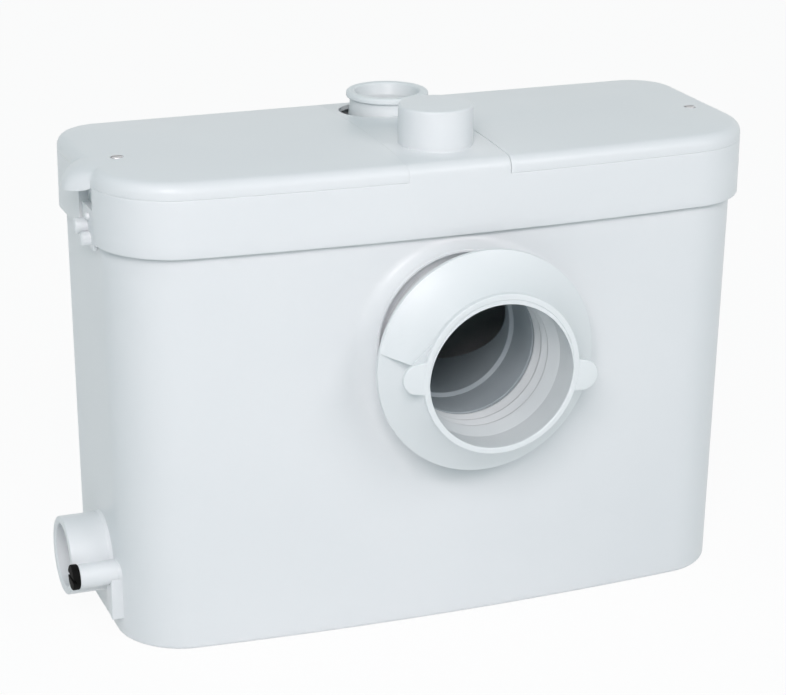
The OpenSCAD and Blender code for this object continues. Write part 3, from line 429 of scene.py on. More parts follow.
class Solid:
    """A closed mesh in millimetres that is cut, joined and softened before it becomes a piece."""

    def __init__(self, points: np.ndarray, faces: Sequence[Sequence[int]]) -> None:
        """Makes the mesh with its faces turned outwards."""
        self.mesh = bpy.data.meshes.new("stock")
        self.mesh.from_pydata([tuple(p) for p in points], [], [tuple(f) for f in faces])
        self.edit(lambda bm: bmesh.ops.recalc_face_normals(bm, faces=bm.faces))

    def edit(self, work: Callable[[bmesh.types.BMesh], object]) -> "Solid":
        """Runs an edit on the mesh.

        Args:
            work: what is done to the mesh while it is open.

        Returns:
            This solid.
        """
        bm = bmesh.new()
        bm.from_mesh(self.mesh)
        work(bm)
        bm.to_mesh(self.mesh)
        bm.free()
        return self

    @classmethod
    def loft(cls, rings: Sequence[np.ndarray], ends: bool = True) -> "Solid":
        """Solid through rings of equally many points.

        Args:
            rings: arrays of points in order.
            ends: True closes the first and last ring with faces, False joins the last to the first.

        Returns:
            The solid.
        """
        n, last = len(rings[0]), len(rings) - 1
        faces = [(k * n + i, k * n + (i + 1) % n, (k + 1) % len(rings) * n + (i + 1) % n,
                  (k + 1) % len(rings) * n + i)
                 for k in range(last if ends else last + 1) for i in range(n)]
        if ends:
            faces += [tuple(range(n))[::-1], tuple(range(last * n, last * n + n))]
        return cls(np.vstack(rings), faces)

    @classmethod
    def lathe(cls, outline: np.ndarray, axis: Axis, centre: Sequence[float], steps: int) -> "Solid":
        """Solid turned from a closed outline of (radius, height) that stays off its axis."""
        t = circle(steps)
        return cls.loft([axis.put(hoop(t, r, h), centre) for r, h in outline], ends=False)

    @classmethod
    def rod(cls, axis: Axis, centre: Sequence[float], low: float, high: float, r: float,
            edge: float = 0.0, steps: int = 64) -> "Solid":
        """Round bar.

        Args:
            axis: which way it points.
            centre: a point of its axis.
            low: height of its first end along the axis.
            high: height of its other end.
            r: its radius.
            edge: rounding of both ends.
            steps: points round it.

        Returns:
            The solid.
        """
        t = circle(steps)
        bend = np.radians(np.linspace(0, 90, 5)) if edge else np.array([math.pi / 2])
        heights = [(r - edge + edge * math.sin(b), low + edge - edge * math.cos(b)) for b in bend]
        heights += [(q, low + high - h) for q, h in reversed(heights)]
        return cls.loft([axis.put(hoop(t, q, h), centre) for q, h in heights])

    @classmethod
    def slab(cls, low: Sequence[float], high: Sequence[float], edge: float = 0.0) -> "Solid":
        """Box with rounded edges.

        Args:
            low: its lower corner.
            high: its upper corner.
            edge: rounding of its edges.

        Returns:
            The solid.
        """
        (x0, y0, z0), (x1, y1, z1) = low, high
        base = np.array([(x0, y0), (x1, y0), (x1, y1), (x0, y1)], float)
        made = cls.loft([np.column_stack([base, np.full(4, z)]) for z in (z0, z1)])
        return made.soften(edge, lambda p: True, clamp=True) if edge else made

    @classmethod
    def extruded(cls, outline: np.ndarray, axis: Axis, centre: Sequence[float], low: float,
                 high: float) -> "Solid":
        """Flat outline drawn out along an axis."""
        return cls.loft([axis.put(np.column_stack([outline, np.full(len(outline), h)]), centre)
                         for h in (low, high)])

    def _object(self) -> bpy.types.Object:
        """A helper object with this mesh."""
        helper = bpy.data.objects.new("helper", self.mesh)
        bpy.context.scene.collection.objects.link(helper)
        return helper

    def combine(self, how: Join, *tools: "Solid") -> "Solid":
        """Cuts by the tools or joins them on.

        Args:
            how: cut or add.
            tools: the other solids, which are used up.

        Returns:
            This solid.
        """
        host = self._object()
        others = [tool._object() for tool in tools]
        for other in others:
            step = host.modifiers.new("shape", "BOOLEAN")
            step.operation, step.object, step.solver = how.value, other, "EXACT"
        bpy.context.view_layer.update()
        made = bpy.data.meshes.new_from_object(host.evaluated_get(bpy.context.evaluated_depsgraph_get()))
        used = [host.data] + [other.data for other in others]
        for helper in [host, *others]:
            bpy.data.objects.remove(helper)
        for mesh in set(used):
            bpy.data.meshes.remove(mesh)
        self.mesh = made
        return self

    def cut(self, *tools: "Solid") -> "Solid":
        """Cuts by the tools."""
        return self.combine(Join.CUT, *tools)

    def add(self, *tools: "Solid") -> "Solid":
        """Joins the tools on."""
        return self.combine(Join.ADD, *tools)

    def trim(self, point: Sequence[float], normal: Sequence[float]) -> "Solid":
        """Takes off what lies beyond a plane and closes the cut.

        Args:
            point: a point of the plane.
            normal: the direction in which the solid is taken off.

        Returns:
            This solid.
        """
        def work(bm: bmesh.types.BMesh) -> None:
            """Cuts and fills.

            Args:
                bm: the open mesh.
            """
            found = bmesh.ops.bisect_plane(bm, geom=bm.verts[:] + bm.edges[:] + bm.faces[:],
                                           plane_co=point, plane_no=normal, clear_outer=True)
            edges = [e for e in found["geom_cut"] if isinstance(e, bmesh.types.BMEdge)]
            bmesh.ops.edgeloop_fill(bm, edges=edges)
            bmesh.ops.recalc_face_normals(bm, faces=bm.faces)
        return self.edit(work)

    def soften(self, width: float, where: Callable[[Vector], bool], angle: float = 40.0,
               parts: int = 3, clamp: bool = False) -> "Solid":
        """Rounds sharp edges.

        Args:
            width: size of the rounding.
            where: says by an edge's middle whether it is rounded.
            angle: least angle in degrees between an edge's faces.
            parts: segments of the rounding.
            clamp: True holds the width back where roundings would meet.

        Returns:
            This solid.
        """
        def work(bm: bmesh.types.BMesh) -> None:
            """Merges doubled points, then bevels.

            Args:
                bm: the open mesh.
            """
            bmesh.ops.remove_doubles(bm, verts=bm.verts, dist=0.01)
            edges = [e for e in bm.edges if len(e.link_faces) == 2
                     and e.calc_face_angle(0.0) > math.radians(angle)
                     and where((e.verts[0].co + e.verts[1].co) / 2)]
            bmesh.ops.bevel(bm, geom=edges, offset=width, offset_type="OFFSET", segments=parts,
                            profile=0.5, affect="EDGES", clamp_overlap=clamp)
        return self.edit(work)

    def piece(self, name: str, sharp: float = 35.0) -> bpy.types.Object:
        """Turns the solid into a piece of the scene.

        Args:
            name: the piece's name.
            sharp: edges above this angle in degrees stay sharp in shading.

        Returns:
            The object, in metres.
        """
        self.edit(lambda bm: bmesh.ops.dissolve_degenerate(bm, edges=bm.edges, dist=0.002))
        self.mesh.transform(Matrix.Scale(MM, 4))
        self.mesh.name = name
        self.mesh.shade_smooth()
        self.mesh.set_sharp_from_angle(angle=math.radians(sharp))
        made = bpy.data.objects.new(name, self.mesh)
        bpy.context.scene.collection.objects.link(made)
        return made


def settle(piece: bpy.types.Object, body: str, slot: str, *nodes: str) -> bpy.types.Object:
    """Dresses a piece and ties it to the frame.

    Args:
        piece: the new piece.
        body: the body that it moves with.
        slot: the record's material slot.
        nodes: the nodes that it stands for.

    Returns:
        The piece.
    """
    piece.data.materials.clear()
    piece.data.materials.append(FINISHES[slot].material())
    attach(piece, body)
    if nodes:
        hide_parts(*nodes)
    LOG.info("%s on %s: %d faces", piece.name, body, len(piece.data.polygons))
    return piece


@dataclass(frozen=True)
class Plan:
    """Plan of tank or lid with round corners and a bowed front, as half length and half depth."""

    a: float
    b: float
    front_r: float
    back_r: float
    bow: float = 11.5
    least_r: float = 3.0
    corner_steps: int = 16
    columns: tuple[float, ...] = (-140, -128, -116, -104, -92, -80, -68, -56, -47, -40, -31, -23, -15, -7,
                                  0, 7, 15, 23, 31, 40, 47, 56, 68, 80, 92, 104, 116, 128, 140)

    def ring(self, inset: float, z: float) -> np.ndarray:
        """Points of the plan, counter-clockwise from the right end.

        Args:
            inset: how far the plan moves in.
            z: height of the points.

        Returns:
            The points.
        """
        a, b = self.a - inset, self.b - inset
        rf, rb = max(self.front_r - inset, self.least_r), max(self.back_r - inset, self.least_r)
        shares = np.concatenate([np.linspace(0.08, 0.56, 6), np.linspace(0.60, 0.985, 30)])
        ends = (b - rb) + shares * (rf - b - (b - rb))
        side = np.linspace(0.25, 0.75, 3)
        flat = self.columns[-1]
        xf, xb = (np.concatenate([-(flat + (a - r - flat) * side[::-1]), self.columns,
                                  flat + (a - r - flat) * side]) for r in (rf, rb))
        points = np.vstack([
            quarter(a - rb, b - rb, rb, 0, self.corner_steps),
            np.column_stack([xb[::-1], np.full(len(xb), b)]),
            quarter(rb - a, b - rb, rb, 90, self.corner_steps),
            np.column_stack([np.full(len(ends), -a), ends]),
            quarter(rf - a, rf - b, rf, 180, self.corner_steps),
            np.column_stack([xf, np.full(len(xf), -b)]),
            quarter(a - rf, rf - b, rf, 270, self.corner_steps),
            np.column_stack([np.full(len(ends), a), ends[::-1]])])
        front = points[:, 1] < 0
        x, y = points[front, 0], points[front, 1]
        points[front, 1] = y + self.bow * (1 - (x / a) ** 2) * y / b
        return np.column_stack([points, np.full(len(points), z)])

    def block(self, inset: float, low: float, high: float) -> Solid:
        """Upright solid over the plan moved in by inset."""
        return Solid.loft([self.ring(inset, low), self.ring(inset, high)])


# Sub-assemblies

@dataclass
class Tank:
    """The tapered tank with its pan boss and the lug below the drain spigot."""

    plan: Plan = Plan(225.0, 79.7, 46.0, 28.0)
    rim: float = 288.0
    draft: float = 4.4
    wall: float = 3.0
    foot: float = 3.0
    pan_at: Spot = PAN_AT
    boss_r: float = 68.4
    swell_at: Spot = (1.5, 207.4)
    swell_r: float = 60.5
    blend_power: int = 30
    boss_front: float = 100.0
    boss_bore: float = 48.0
    boss_wall: float = 2.0
    hole_r: float = 56.7
    seat_r: float = 62.7
    land_r: float = 66.5
    trough_depth: float = 10.5
    round_steps: int = 160
    cove: Spot = (15.0, 8.0)
    cove_turn: float = 66.0
    lip: float = 0.7
    sunk: float = 1.5
    lug_x: Spot = (-227.3, -219.0)
    lug_y: Spot = (-45.3, -31.0)
    lug_low: Spot = (14.0, 17.0)
    lug_high: float = 46.0
    end_wall: Spot = (-240.0, -200.0)
    stub_hole: float = 27.3
    spigot_hole: float = 8.6

    def lean(self, z: float | np.ndarray) -> float | np.ndarray:
        """How far the wall lies in at height z."""
        return self.draft * (1 - z / self.rim)

    def front(self, x: np.ndarray, z: np.ndarray) -> np.ndarray:
        """Depth of the front's face at x and z."""
        inset = self.lean(z)
        return self.plan.b - inset + self.plan.bow * (1 - (x / (self.plan.a - inset)) ** 2)

    def shell(self) -> Solid:
        """The open tank without boss and lug.

        Returns:
            The solid.
        """
        rings = []
        for t in np.radians(np.linspace(0, 90, 7)):
            z = self.foot * (1 - math.cos(t))
            rings.append(self.plan.ring(self.lean(z) + self.foot * (1 - math.sin(t)), z))
        for z in np.linspace(self.foot, self.rim - 0.5, 25)[1:]:
            rings.append(self.plan.ring(self.lean(z), z))
        rings.append(self.plan.ring(0.5, self.rim))
        rings.append(self.plan.ring(self.wall, self.rim))
        rings.append(self.plan.ring(self.wall + self.draft, self.wall))
        return Solid.loft(rings)

    def boss_edge(self, t: np.ndarray) -> np.ndarray:
        """Radius of the boss, with its swell at the upper left.

        Args:
            t: angles about the pan's axis.

        Returns:
            The radius at each angle.
        """
        dx, dz = (a - b for a, b in zip(self.swell_at, self.pan_at))
        along = dx * np.cos(t) + dz * np.sin(t)
        swell = along + np.sqrt(self.swell_r ** 2 - dx ** 2 - dz ** 2 + along ** 2)
        power = self.blend_power
        return (self.boss_r ** power + swell ** power) ** (1 / power)

    def boss(self) -> Solid:
        """Round boss that swells out of the bowed front in a cove, which is narrower below the lid.

        Returns:
            The solid, sunk a little into the front.
        """
        t = circle(self.round_steps)
        side = self.boss_edge(t)
        wide, narrow = self.cove
        reach = wide - (wide - narrow) * np.maximum(np.sin(t), 0)
        end = math.radians(self.cove_turn)
        edge = self.boss_front - self.lip
        rings = []

        def ring(r: float | np.ndarray, rise: float, out: float = 0.0) -> None:
            """Adds a ring.

            Args:
                r: its radius.
                rise: its share of the way from the tank's front to the boss's edge.
                out: how far it stands out beyond that.
            """
            x, z = self.pan_at[0] + r * np.cos(t), self.pan_at[1] + r * np.sin(t)
            low = self.front(x, z)
            rings.append(np.stack([x, -(low + (edge - low) * rise + out), z], 1))

        ring(self.boss_bore, 0.0, -self.sunk)
        ring(side + reach + 1, 0.0, -self.sunk)
        for b in np.linspace(0, end, 10):
            ring(side + reach * (1 - math.sin(b) / math.sin(end)),
                 (1 - math.cos(b)) / (1 - math.cos(end)), -0.03)
        for b in np.radians(np.linspace(0, 90, 6)):
            ring(side - self.lip * (1 - math.cos(b)), 1.0, self.lip * math.sin(b))
        ring(self.boss_bore, 1.0, self.lip)
        return Solid.loft(rings, ends=False)

    def trough(self) -> Solid:
        """Crescent between the boss's wall and the land round the tube.

        Returns:
            The solid that is cut out.
        """
        centre, face = (self.pan_at[0], 0, self.pan_at[1]), self.boss_front
        t = circle(self.round_steps)
        outline = hoop(t, self.boss_edge(t) - self.boss_wall)[:, :2]
        made = Solid.extruded(outline, Axis.FRONT, centre, face - self.trough_depth, face + 9)
        land = Solid.rod(Axis.FRONT, centre, face - 12, face + 12, self.land_r, steps=self.round_steps)
        return made.cut(land)

    def lug(self) -> Solid:
        """Rib below the spigot, its underside rising towards the back.

        Returns:
            The solid.
        """
        (x0, x1), high = self.lug_x, self.lug_high
        body = Solid.loft([np.array([(x0, y, high), (x0, y, low), (x1, y, low), (x1, y, high)])
                           for y, low in zip(self.lug_y, self.lug_low)])
        return body.soften(0.6, lambda p: p.x < -222 and p.z < high - 0.5, 50.0)

    def build(self) -> None:
        """Makes the tank."""
        centre, face = (self.pan_at[0], 0, self.pan_at[1]), self.boss_front
        made = self.shell().add(self.boss(), self.lug())
        made.cut(Solid.rod(Axis.FRONT, centre, 60, face + 10, self.hole_r, steps=128),
                 Solid.rod(Axis.FRONT, centre, face - 3, face + 10, self.seat_r, steps=128),
                 self.trough(),
                 Solid.rod(Axis.RIGHT, (0, *STUB_AT), *self.end_wall, self.stub_hole, steps=96),
                 Solid.rod(Axis.RIGHT, (0, *SPIGOT_AT), *self.end_wall, self.spigot_hole))
        settle(made.piece("tank_shell"), "housing", "white_abs", "tank")


@dataclass
class SideInlet:
    """Waste inlet stub with the drain spigot beside it, low on the left end."""

    stub_r: float = 27.0
    spigot_r: float = 8.3
    bore: float = 21.6
    drain: float = 3.3
    plug_bore: float = 5.8
    relief: float = 9.0
    through: Spot = (-260.0, -200.0)
    ear_y: Spot = (-11.3, 4.3)
    ear_z: Spot = (71.6, 79.3)
    mouth: float = -249.92
    spigot_mouth: float = -247.72
    seat: float = -213.3
    wall_x: float = -221.3

    def stub(self) -> Solid:
        """The stub with a rounded mouth, a soft root at the wall and the flange inside it.

        Returns:
            The solid.
        """
        r, w = self.stub_r, self.wall_x
        outline = rounded([(self.bore, self.seat, 0), (r, self.seat, 0), (r, w + 6.2, 0),
                           (r + 4, w + 6.2, 0), (r + 4, w + 3.8, 0), (r, w + 3.8, 0), (r, w + 1.5, 0),
                           (r + 2.0, w + 0.9, 0), (r, w - 2.6, 2.4), (r, self.mouth, 1.0),
                           (self.bore + 0.8, self.mouth, 0.6), (self.bore, self.mouth + 0.9, 0.4)])
        return Solid.lathe(outline, Axis.RIGHT, (0, *STUB_AT), 96)

    def spigot(self) -> Solid:
        """The drain spigot with its bore.

        Returns:
            The solid.
        """
        r, w = self.spigot_r, self.wall_x
        outline = rounded([(self.drain, w + 6, 0), (r, w + 6, 0), (r + 0.6, w + 0.5, 0),
                           (r, w - 1.0, 0.8), (r, self.spigot_mouth, 0.5),
                           (self.plug_bore, self.spigot_mouth, 0.3), (self.plug_bore, w - 3, 0),
                           (self.drain, w - 3, 0)])
        return Solid.lathe(outline, Axis.RIGHT, (0, *SPIGOT_AT), 64)

    def ears(self) -> list[Solid]:
        """The two ears that hold the flap's pin."""
        low, high = self.ear_z
        return [Solid.slab((self.wall_x + 3.8, y, low), (self.seat + 6.7, y + 3, high), 0.5)
                for y in self.ear_y]

    def build(self) -> None:
        """Makes stub, spigot and ears in one."""
        bore = Solid.rod(Axis.RIGHT, (0, *STUB_AT), *self.through, self.bore, steps=96)
        relief = Solid.rod(Axis.RIGHT, (0, *SPIGOT_AT), self.through[0], self.spigot_mouth, self.relief)
        hole = Solid.rod(Axis.RIGHT, (0, *SPIGOT_AT), *self.through, self.drain)
        made = self.stub().cut(relief).add(self.spigot(), *self.ears()).cut(bore, hole)
        settle(made.piece("side_inlet_stub"), "housing", "white_abs", "side_inlet")


@dataclass
class DrainPlug:
    """Black push-in plug with a screwdriver slot."""

    at: Spot = SPIGOT_AT
    mouth: float = -247.72
    head: float = -252.72
    head_r: float = 8.7
    stem: Spot = (10.0, 5.5)
    slot: Spot = (2.5, 1.2)

    def build(self) -> None:
        """Makes the plug."""
        y, z = self.at
        (length, stem_r), (deep, half) = self.stem, self.slot
        made = Solid.rod(Axis.RIGHT, (0, y, z), self.head, self.mouth, self.head_r, 1.0)
        made.add(Solid.rod(Axis.RIGHT, (0, y, z), self.mouth - 1, self.mouth + length, stem_r, 0.5))
        made.cut(Solid.slab((self.head - 3, y - 20, z - half), (self.head + deep, y + 20, z + half)))
        made.soften(0.3, lambda p: p.x < self.head + deep + 0.1, 50.0)
        settle(made.piece("drain_plug"), "spigot_plug", "black_plastic", "spigot_plug")


@dataclass
class Lid:
    """Skirted lid with its bridge, and the two covers beside the bridge."""

    plan: Plan = Plan(229.6, 84.3, 48.3, 32.6)
    skirt: float = 276.6
    top: float = 326.2
    edge: float = 7.7
    crown: float = 2.8
    wall: float = 2.6
    deck: Spot = (291.0, 294.0)
    seam: float = 315.0
    ceiling: float = 323.6
    bridge: float = 35.5
    bridge_room: float = 32.9
    gaps: Spot = (0.1, 0.5)
    groove: Spot = (-35.0, -2.0)
    groove_x: Spot = (-225.2, -219.6)
    groove_round: float = 2.0
    lining_x: Spot = (-223.4, -217.0)
    cheek_x: Spot = (-228.3, -219.0)
    levels: tuple[float, ...] = (284.0, 292.0, 300.0, 307.0, 312.6, 317.4)
    collar: float = 329.0
    collar_r: float = 24.95
    neck: Spot = (341.5, 20.0)
    vent_holes: tuple[float, float, float] = (10.0, 14.8, 17.4)
    spout_y: float = 46.0
    spout_play: Spot = (27.2, 4.2)
    column_hole: float = 27.3
    motors: tuple[Spot, ...] = ((-128.0, -4.0), (128.0, -4.0))
    motor_hole: float = 49.8
    bell: Spot = (180.0, 50.0)
    bell_hole: float = 15.3
    screw: Spot = (206.9, -15.8)
    post: Spot = (292.0, 5.0)
    screw_holes: tuple[float, float, float] = (1.85, 2.1, 4.3)
    above: float = 340.0
    seam_round: float = 0.45

    def form(self) -> Solid:
        """Whole outer form: skirt, rounded edge and crowned top.

        Returns:
            The solid form.
        """
        rings = [self.plan.ring(0.7, self.skirt), self.plan.ring(0.2, self.skirt + 0.2),
                 self.plan.ring(0, self.skirt + 0.7)]
        rings += [self.plan.ring(0, z) for z in self.levels]
        last = 90 - math.degrees(2 * self.crown / (self.plan.b - self.edge))
        for t in np.radians(np.linspace(0, last, 13)):
            rings.append(self.plan.ring(self.edge * (1 - math.cos(t)),
                                        self.top - self.edge + self.edge * math.sin(t)))
        for share in np.linspace(0, 1, 21)[1:] ** 1.3:
            inset = self.edge + (0.9 * self.plan.b - self.edge) * share
            height = 1 - ((self.plan.b - inset) / (self.plan.b - self.edge)) ** 2
            rings.append(self.plan.ring(inset, self.top + self.crown * height))
        return Solid.loft(rings)

    def half(self, side: int, inset: float, x: float, low: float, high: float) -> Solid:
        """Upright block over the lid's inside on one side of the bridge."""
        return self.plan.block(inset, low, high).trim((side * x, 0, 0), (-side, 0, 0))

    def spout_hole(self) -> Solid:
        """Long hole with play for the spout.

        Returns:
            The solid that is cut out.
        """
        t = np.radians(np.arange(0, 360, 4))
        r, play = self.spout_play
        x = r * np.cos(t) + np.where(np.cos(t) >= 0, play, -play)
        outline = np.column_stack([x, self.spout_y + r * np.sin(t)])
        return Solid.extruded(outline, Axis.UP, (0, 0, 0), self.ceiling - 2, self.above)

    def screws(self) -> list[Spot]:
        """Places of the cover screws, left and right."""
        return [(side * self.screw[0], self.screw[1]) for side in (-1, 1)]

    def lid_holes(self) -> list[Solid]:
        """Openings of deck and bridge.

        Returns:
            The solids that are cut out.
        """
        low, high = self.deck[0] - 1, self.deck[1] + 1
        made = [Solid.rod(Axis.UP, (*at, 0), low, high, self.motor_hole, steps=96) for at in self.motors]
        breath, bore, cup = self.vent_holes
        rows = ((COLUMN_AT, low, high, self.column_hole), (self.bell, low, high, self.bell_hole),
                (VENT_AT, low, high, breath), (VENT_AT, self.ceiling - 1, FAR, bore),
                (VENT_AT, self.collar, FAR, cup))
        made += [Solid.rod(Axis.UP, (*at, 0), a, b, r) for at, a, b, r in rows]
        made.append(self.spout_hole())
        made += [Solid.rod(Axis.UP, (*at, 0), high, self.above, self.screw_holes[0])
                 for at in self.screws()]
        return made

    def lining(self) -> Solid:
        """Wall behind the cord groove and its two cheeks.

        Returns:
            The solid.
        """
        (y0, y1), (x0, x1), low = self.groove, self.cheek_x, self.deck[0]
        back, deep = self.lining_x
        made = Solid.slab((back - 0.4, y0 - self.wall, low), (deep, y1 + self.wall, self.seam))
        made.add(Solid.slab((x0, y0 - self.wall, low), (x1, y0, self.seam)),
                 Solid.slab((x0, y1, low), (x1, y1 + self.wall, self.seam)))
        return made.cut(Solid.slab((back - 1.6, y0, self.deck[1]), (back, y1, self.above)))

    def lid_shell(self) -> Solid:
        """The lid without its covers.

        Returns:
            The solid.
        """
        y0, y1 = self.groove
        made = self.form()
        tools = [self.plan.block(self.wall, self.skirt - 1, self.deck[0])]
        for side in (-1, 1):
            x = sorted((side * self.bridge, side * FAR))
            tools.append(Solid.slab((x[0], -FAR, self.seam), (x[1], FAR, FAR)))
            tools.append(self.half(side, self.wall, self.bridge, self.deck[1], FAR))
        room = self.plan.block(self.wall, self.deck[1], self.ceiling)
        for side in (1, -1):
            room.trim((side * self.bridge_room, 0, 0), (side, 0, 0))
        tools.append(room)
        tools += [Solid.slab((-FAR, y0, low), (x, y1, FAR))
                  for low, x in zip((self.skirt - 1, self.deck[1]), self.groove_x)]
        made.cut(*tools)
        made.soften(self.seam_round, self.at_seam)
        made.soften(self.groove_round, lambda p: p.x < -228.5 and abs(p.y - y0) < 0.3, 50.0)
        (post_low, post_r), (neck_top, neck_r) = self.post, self.neck
        posts = [Solid.rod(Axis.UP, (*at, 0), post_low, self.ceiling - 0.3, post_r)
                 for at in self.screws()]
        made.add(self.lining(),
                 Solid.rod(Axis.UP, (*VENT_AT, 0), self.ceiling, self.collar, self.collar_r, 0.05, 160),
                 Solid.rod(Axis.UP, (*VENT_AT, 0), self.ceiling, neck_top, neck_r), *posts)
        return made.cut(*self.lid_holes())

    def at_seam(self, p: Vector) -> bool:
        """True on the outer edges that face the covers, apart from the tight joint on the left."""
        level = abs(p.z - self.seam) < 0.02 and abs(p.x) > self.bridge - 0.1
        upright = abs(p.x - self.bridge) < 0.02 and p.z > self.seam - 0.1
        return level or upright

    def cover(self, side: int) -> Solid:
        """A cover: shallow cap with a screw recess.

        Args:
            side: -1 for the left cover, 1 for the right one.

        Returns:
            The solid.
        """
        inner = self.bridge + self.gaps[side > 0]
        made = self.form().trim((side * inner, 0, 0), (-side, 0, 0)).trim((0, 0, self.seam), (0, 0, -1))
        made.cut(self.half(side, self.wall, inner + self.wall, self.seam - 1, self.ceiling))
        made.soften(self.seam_round, lambda p: abs(p.z - self.seam) < 0.02 or abs(p.x - inner) < 0.02)
        centre = (*self.screws()[side > 0], 0)
        return made.cut(Solid.rod(Axis.UP, centre, self.ceiling - 1, self.above, self.screw_holes[1]),
                        Solid.rod(Axis.UP, centre, self.top - 1, self.above, self.screw_holes[2]))

    def build(self) -> None:
        """Makes the lid and both covers."""
        settle(self.lid_shell().piece("lid_shell"), "housing", "white_abs", "main_lid")
        settle(self.cover(1).piece("right_cover_cap"), "right_cover", "white_abs", "right_cover")
        hood = CordHood(self.edge, self.top, self.seam)
        left = hood.hollow(hood.raised(self.cover(-1)))
        settle(left.piece("left_cover_cap"), "left_cover", "white_abs", "left_cover")
        for at, name in zip(self.screws(), ("left_cover", "right_cover")):
            screw = CoverScrew(at, self.top - 1.0)
            settle(screw.solid().piece(name + "_screw_head"), name, "steel", name + "_screw")


@dataclass
class CoverScrew:
    """Slotted screw in a cover's recess."""

    at: Spot
    seat: float
    head_r: float = 4.0
    head_h: float = 2.6
    shank_r: float = 1.8
    shank: float = 26.0
    slot: Spot = (1.1, 0.6)

    def solid(self) -> Solid:
        """Domed head with a slot on a plain shank.

        Returns:
            The solid.
        """
        (x, y), seat, (deep, half) = self.at, self.seat, self.slot
        made = Solid.rod(Axis.UP, (x, y, 0), seat, seat + self.head_h, self.head_r, 1.0)
        made.add(Solid.rod(Axis.UP, (x, y, 0), seat - self.shank, seat + 0.5, self.shank_r, 0.4))
        return made.cut(Solid.slab((x - 9, y - half, seat + self.head_h - deep), (x + 9, y + half, FAR)))


@dataclass
class CordHood:
    """Visor on the left cover over the cord groove, which swells out of the lid's rounded edge."""

    edge: float
    top: float
    seam: float
    middle: float = -17.5
    back_half: float = 16.5
    front_half: float = 19.0
    reach_power: Spot = (0.28, 1.15)
    drop_power: Spot = (0.14, 0.45)
    end: float = -229.6
    root: float = 17.0
    arch: tuple[Spot, ...] = ((-212.6, 326.9), (-228.0, 327.0), (-243.8, 322.8), (-243.8, 309.6))

    def goal(self, share: float) -> Spot:
        """Point of the visor's arch in the lid's cross-section.

        Args:
            share: 0 at the arch's root to 1 at its free edge.

        Returns:
            The point's x and z.
        """
        s, rest = share, 1 - share
        weights = (rest ** 3, 3 * s * rest ** 2, 3 * s ** 2 * rest, s ** 3)
        return tuple(sum(w * p[k] for w, p in zip(weights, self.arch)) for k in (0, 1))

    def share(self, p: Vector) -> float:
        """How far along the lid's profile a point lies.

        Args:
            p: a point of the lid.

        Returns:
            0 at the root on top to 1 at the seam, or less than 0 before the root.
        """
        inset = p.x - self.end
        flat, bend = self.root - self.edge, self.edge * math.pi / 2
        wall = self.top - self.edge - self.seam
        if inset >= self.edge:
            length = self.root - inset
        elif p.z > self.top - self.edge:
            angle = math.atan2(self.edge - inset, p.z - self.top + self.edge)
            length = flat + angle * self.edge
        else:
            length = flat + bend + self.top - self.edge - p.z
        return length / (flat + bend + wall)

    def raised(self, cover: Solid) -> Solid:
        """Moves the cover's outer face out to the visor.

        Args:
            cover: the plain left cover.

        Returns:
            The cover with its visor.
        """
        def work(bm: bmesh.types.BMesh) -> None:
            """Moves the points of the outer face.

            Args:
                bm: the open mesh.
            """
            under = [f for f in bm.faces
                     if f.normal.z < -0.9 and f.calc_center_median().z < self.seam + 0.1]
            bmesh.ops.triangulate(bm, faces=under)
            for v in bm.verts:
                p = v.co
                inset = p.x - self.end
                outer = inset < 1.2 or (p.z > self.top - self.edge and self.depth(p) < 0.6)
                share = self.share(p)
                if not outer or share <= 0 or inset > self.root:
                    continue
                front = p.y < self.middle
                half = (self.front_half if front else self.back_half) * min(1.0, (share / 0.55) ** 0.7)
                u = (p.y - self.middle) / half
                if abs(u) >= 1:
                    continue
                x, z = self.goal(min(share, 1.0))
                reach, drop = ((1 - u * u) ** power[front]
                               for power in (self.reach_power, self.drop_power))
                v.co = (p.x + (x - p.x) * reach, p.y, p.z + (z - p.z) * drop)
        return cover.edit(work)

    def depth(self, p: Vector) -> float:
        """How deep a point lies below the plain lid's outer face.

        Args:
            p: a point of the lid.

        Returns:
            The depth.
        """
        inset = p.x - self.end
        if inset >= self.edge:
            return self.top - p.z
        return self.edge - math.hypot(self.edge - inset, p.z - self.top + self.edge)

    def hollow(self, cover: Solid) -> Solid:
        """Cuts the cord's way under the visor."""
        return cover.cut(Solid.slab((-236.5, -30.0, 300.0), (-224.0, -5.5, 316.0), 2.0))


@dataclass
class VentCap:
    """Round cap over the vent at the front of the bridge."""

    low: float = 329.06
    high: float = 354.3
    r: float = 25.0
    inner: float = 20.3
    roof: float = 2.6
    tip: float = 0.02

    def build(self) -> None:
        """Makes the cap, hollow from below."""
        under = self.high - self.roof
        outline = rounded([(self.tip, under, 0), (self.inner, under, 0.5), (self.inner, self.low, 0.4),
                           (self.r, self.low, 0.1), (self.r - 0.15, self.high, 1.6),
                           (self.tip, self.high + 0.01, 0)], 7)
        made = Solid.lathe(outline, Axis.UP, (*VENT_AT, 0), 160)
        settle(made.piece("vent_cap_dome"), "vent_cap", "white_abs", "vent_cap")


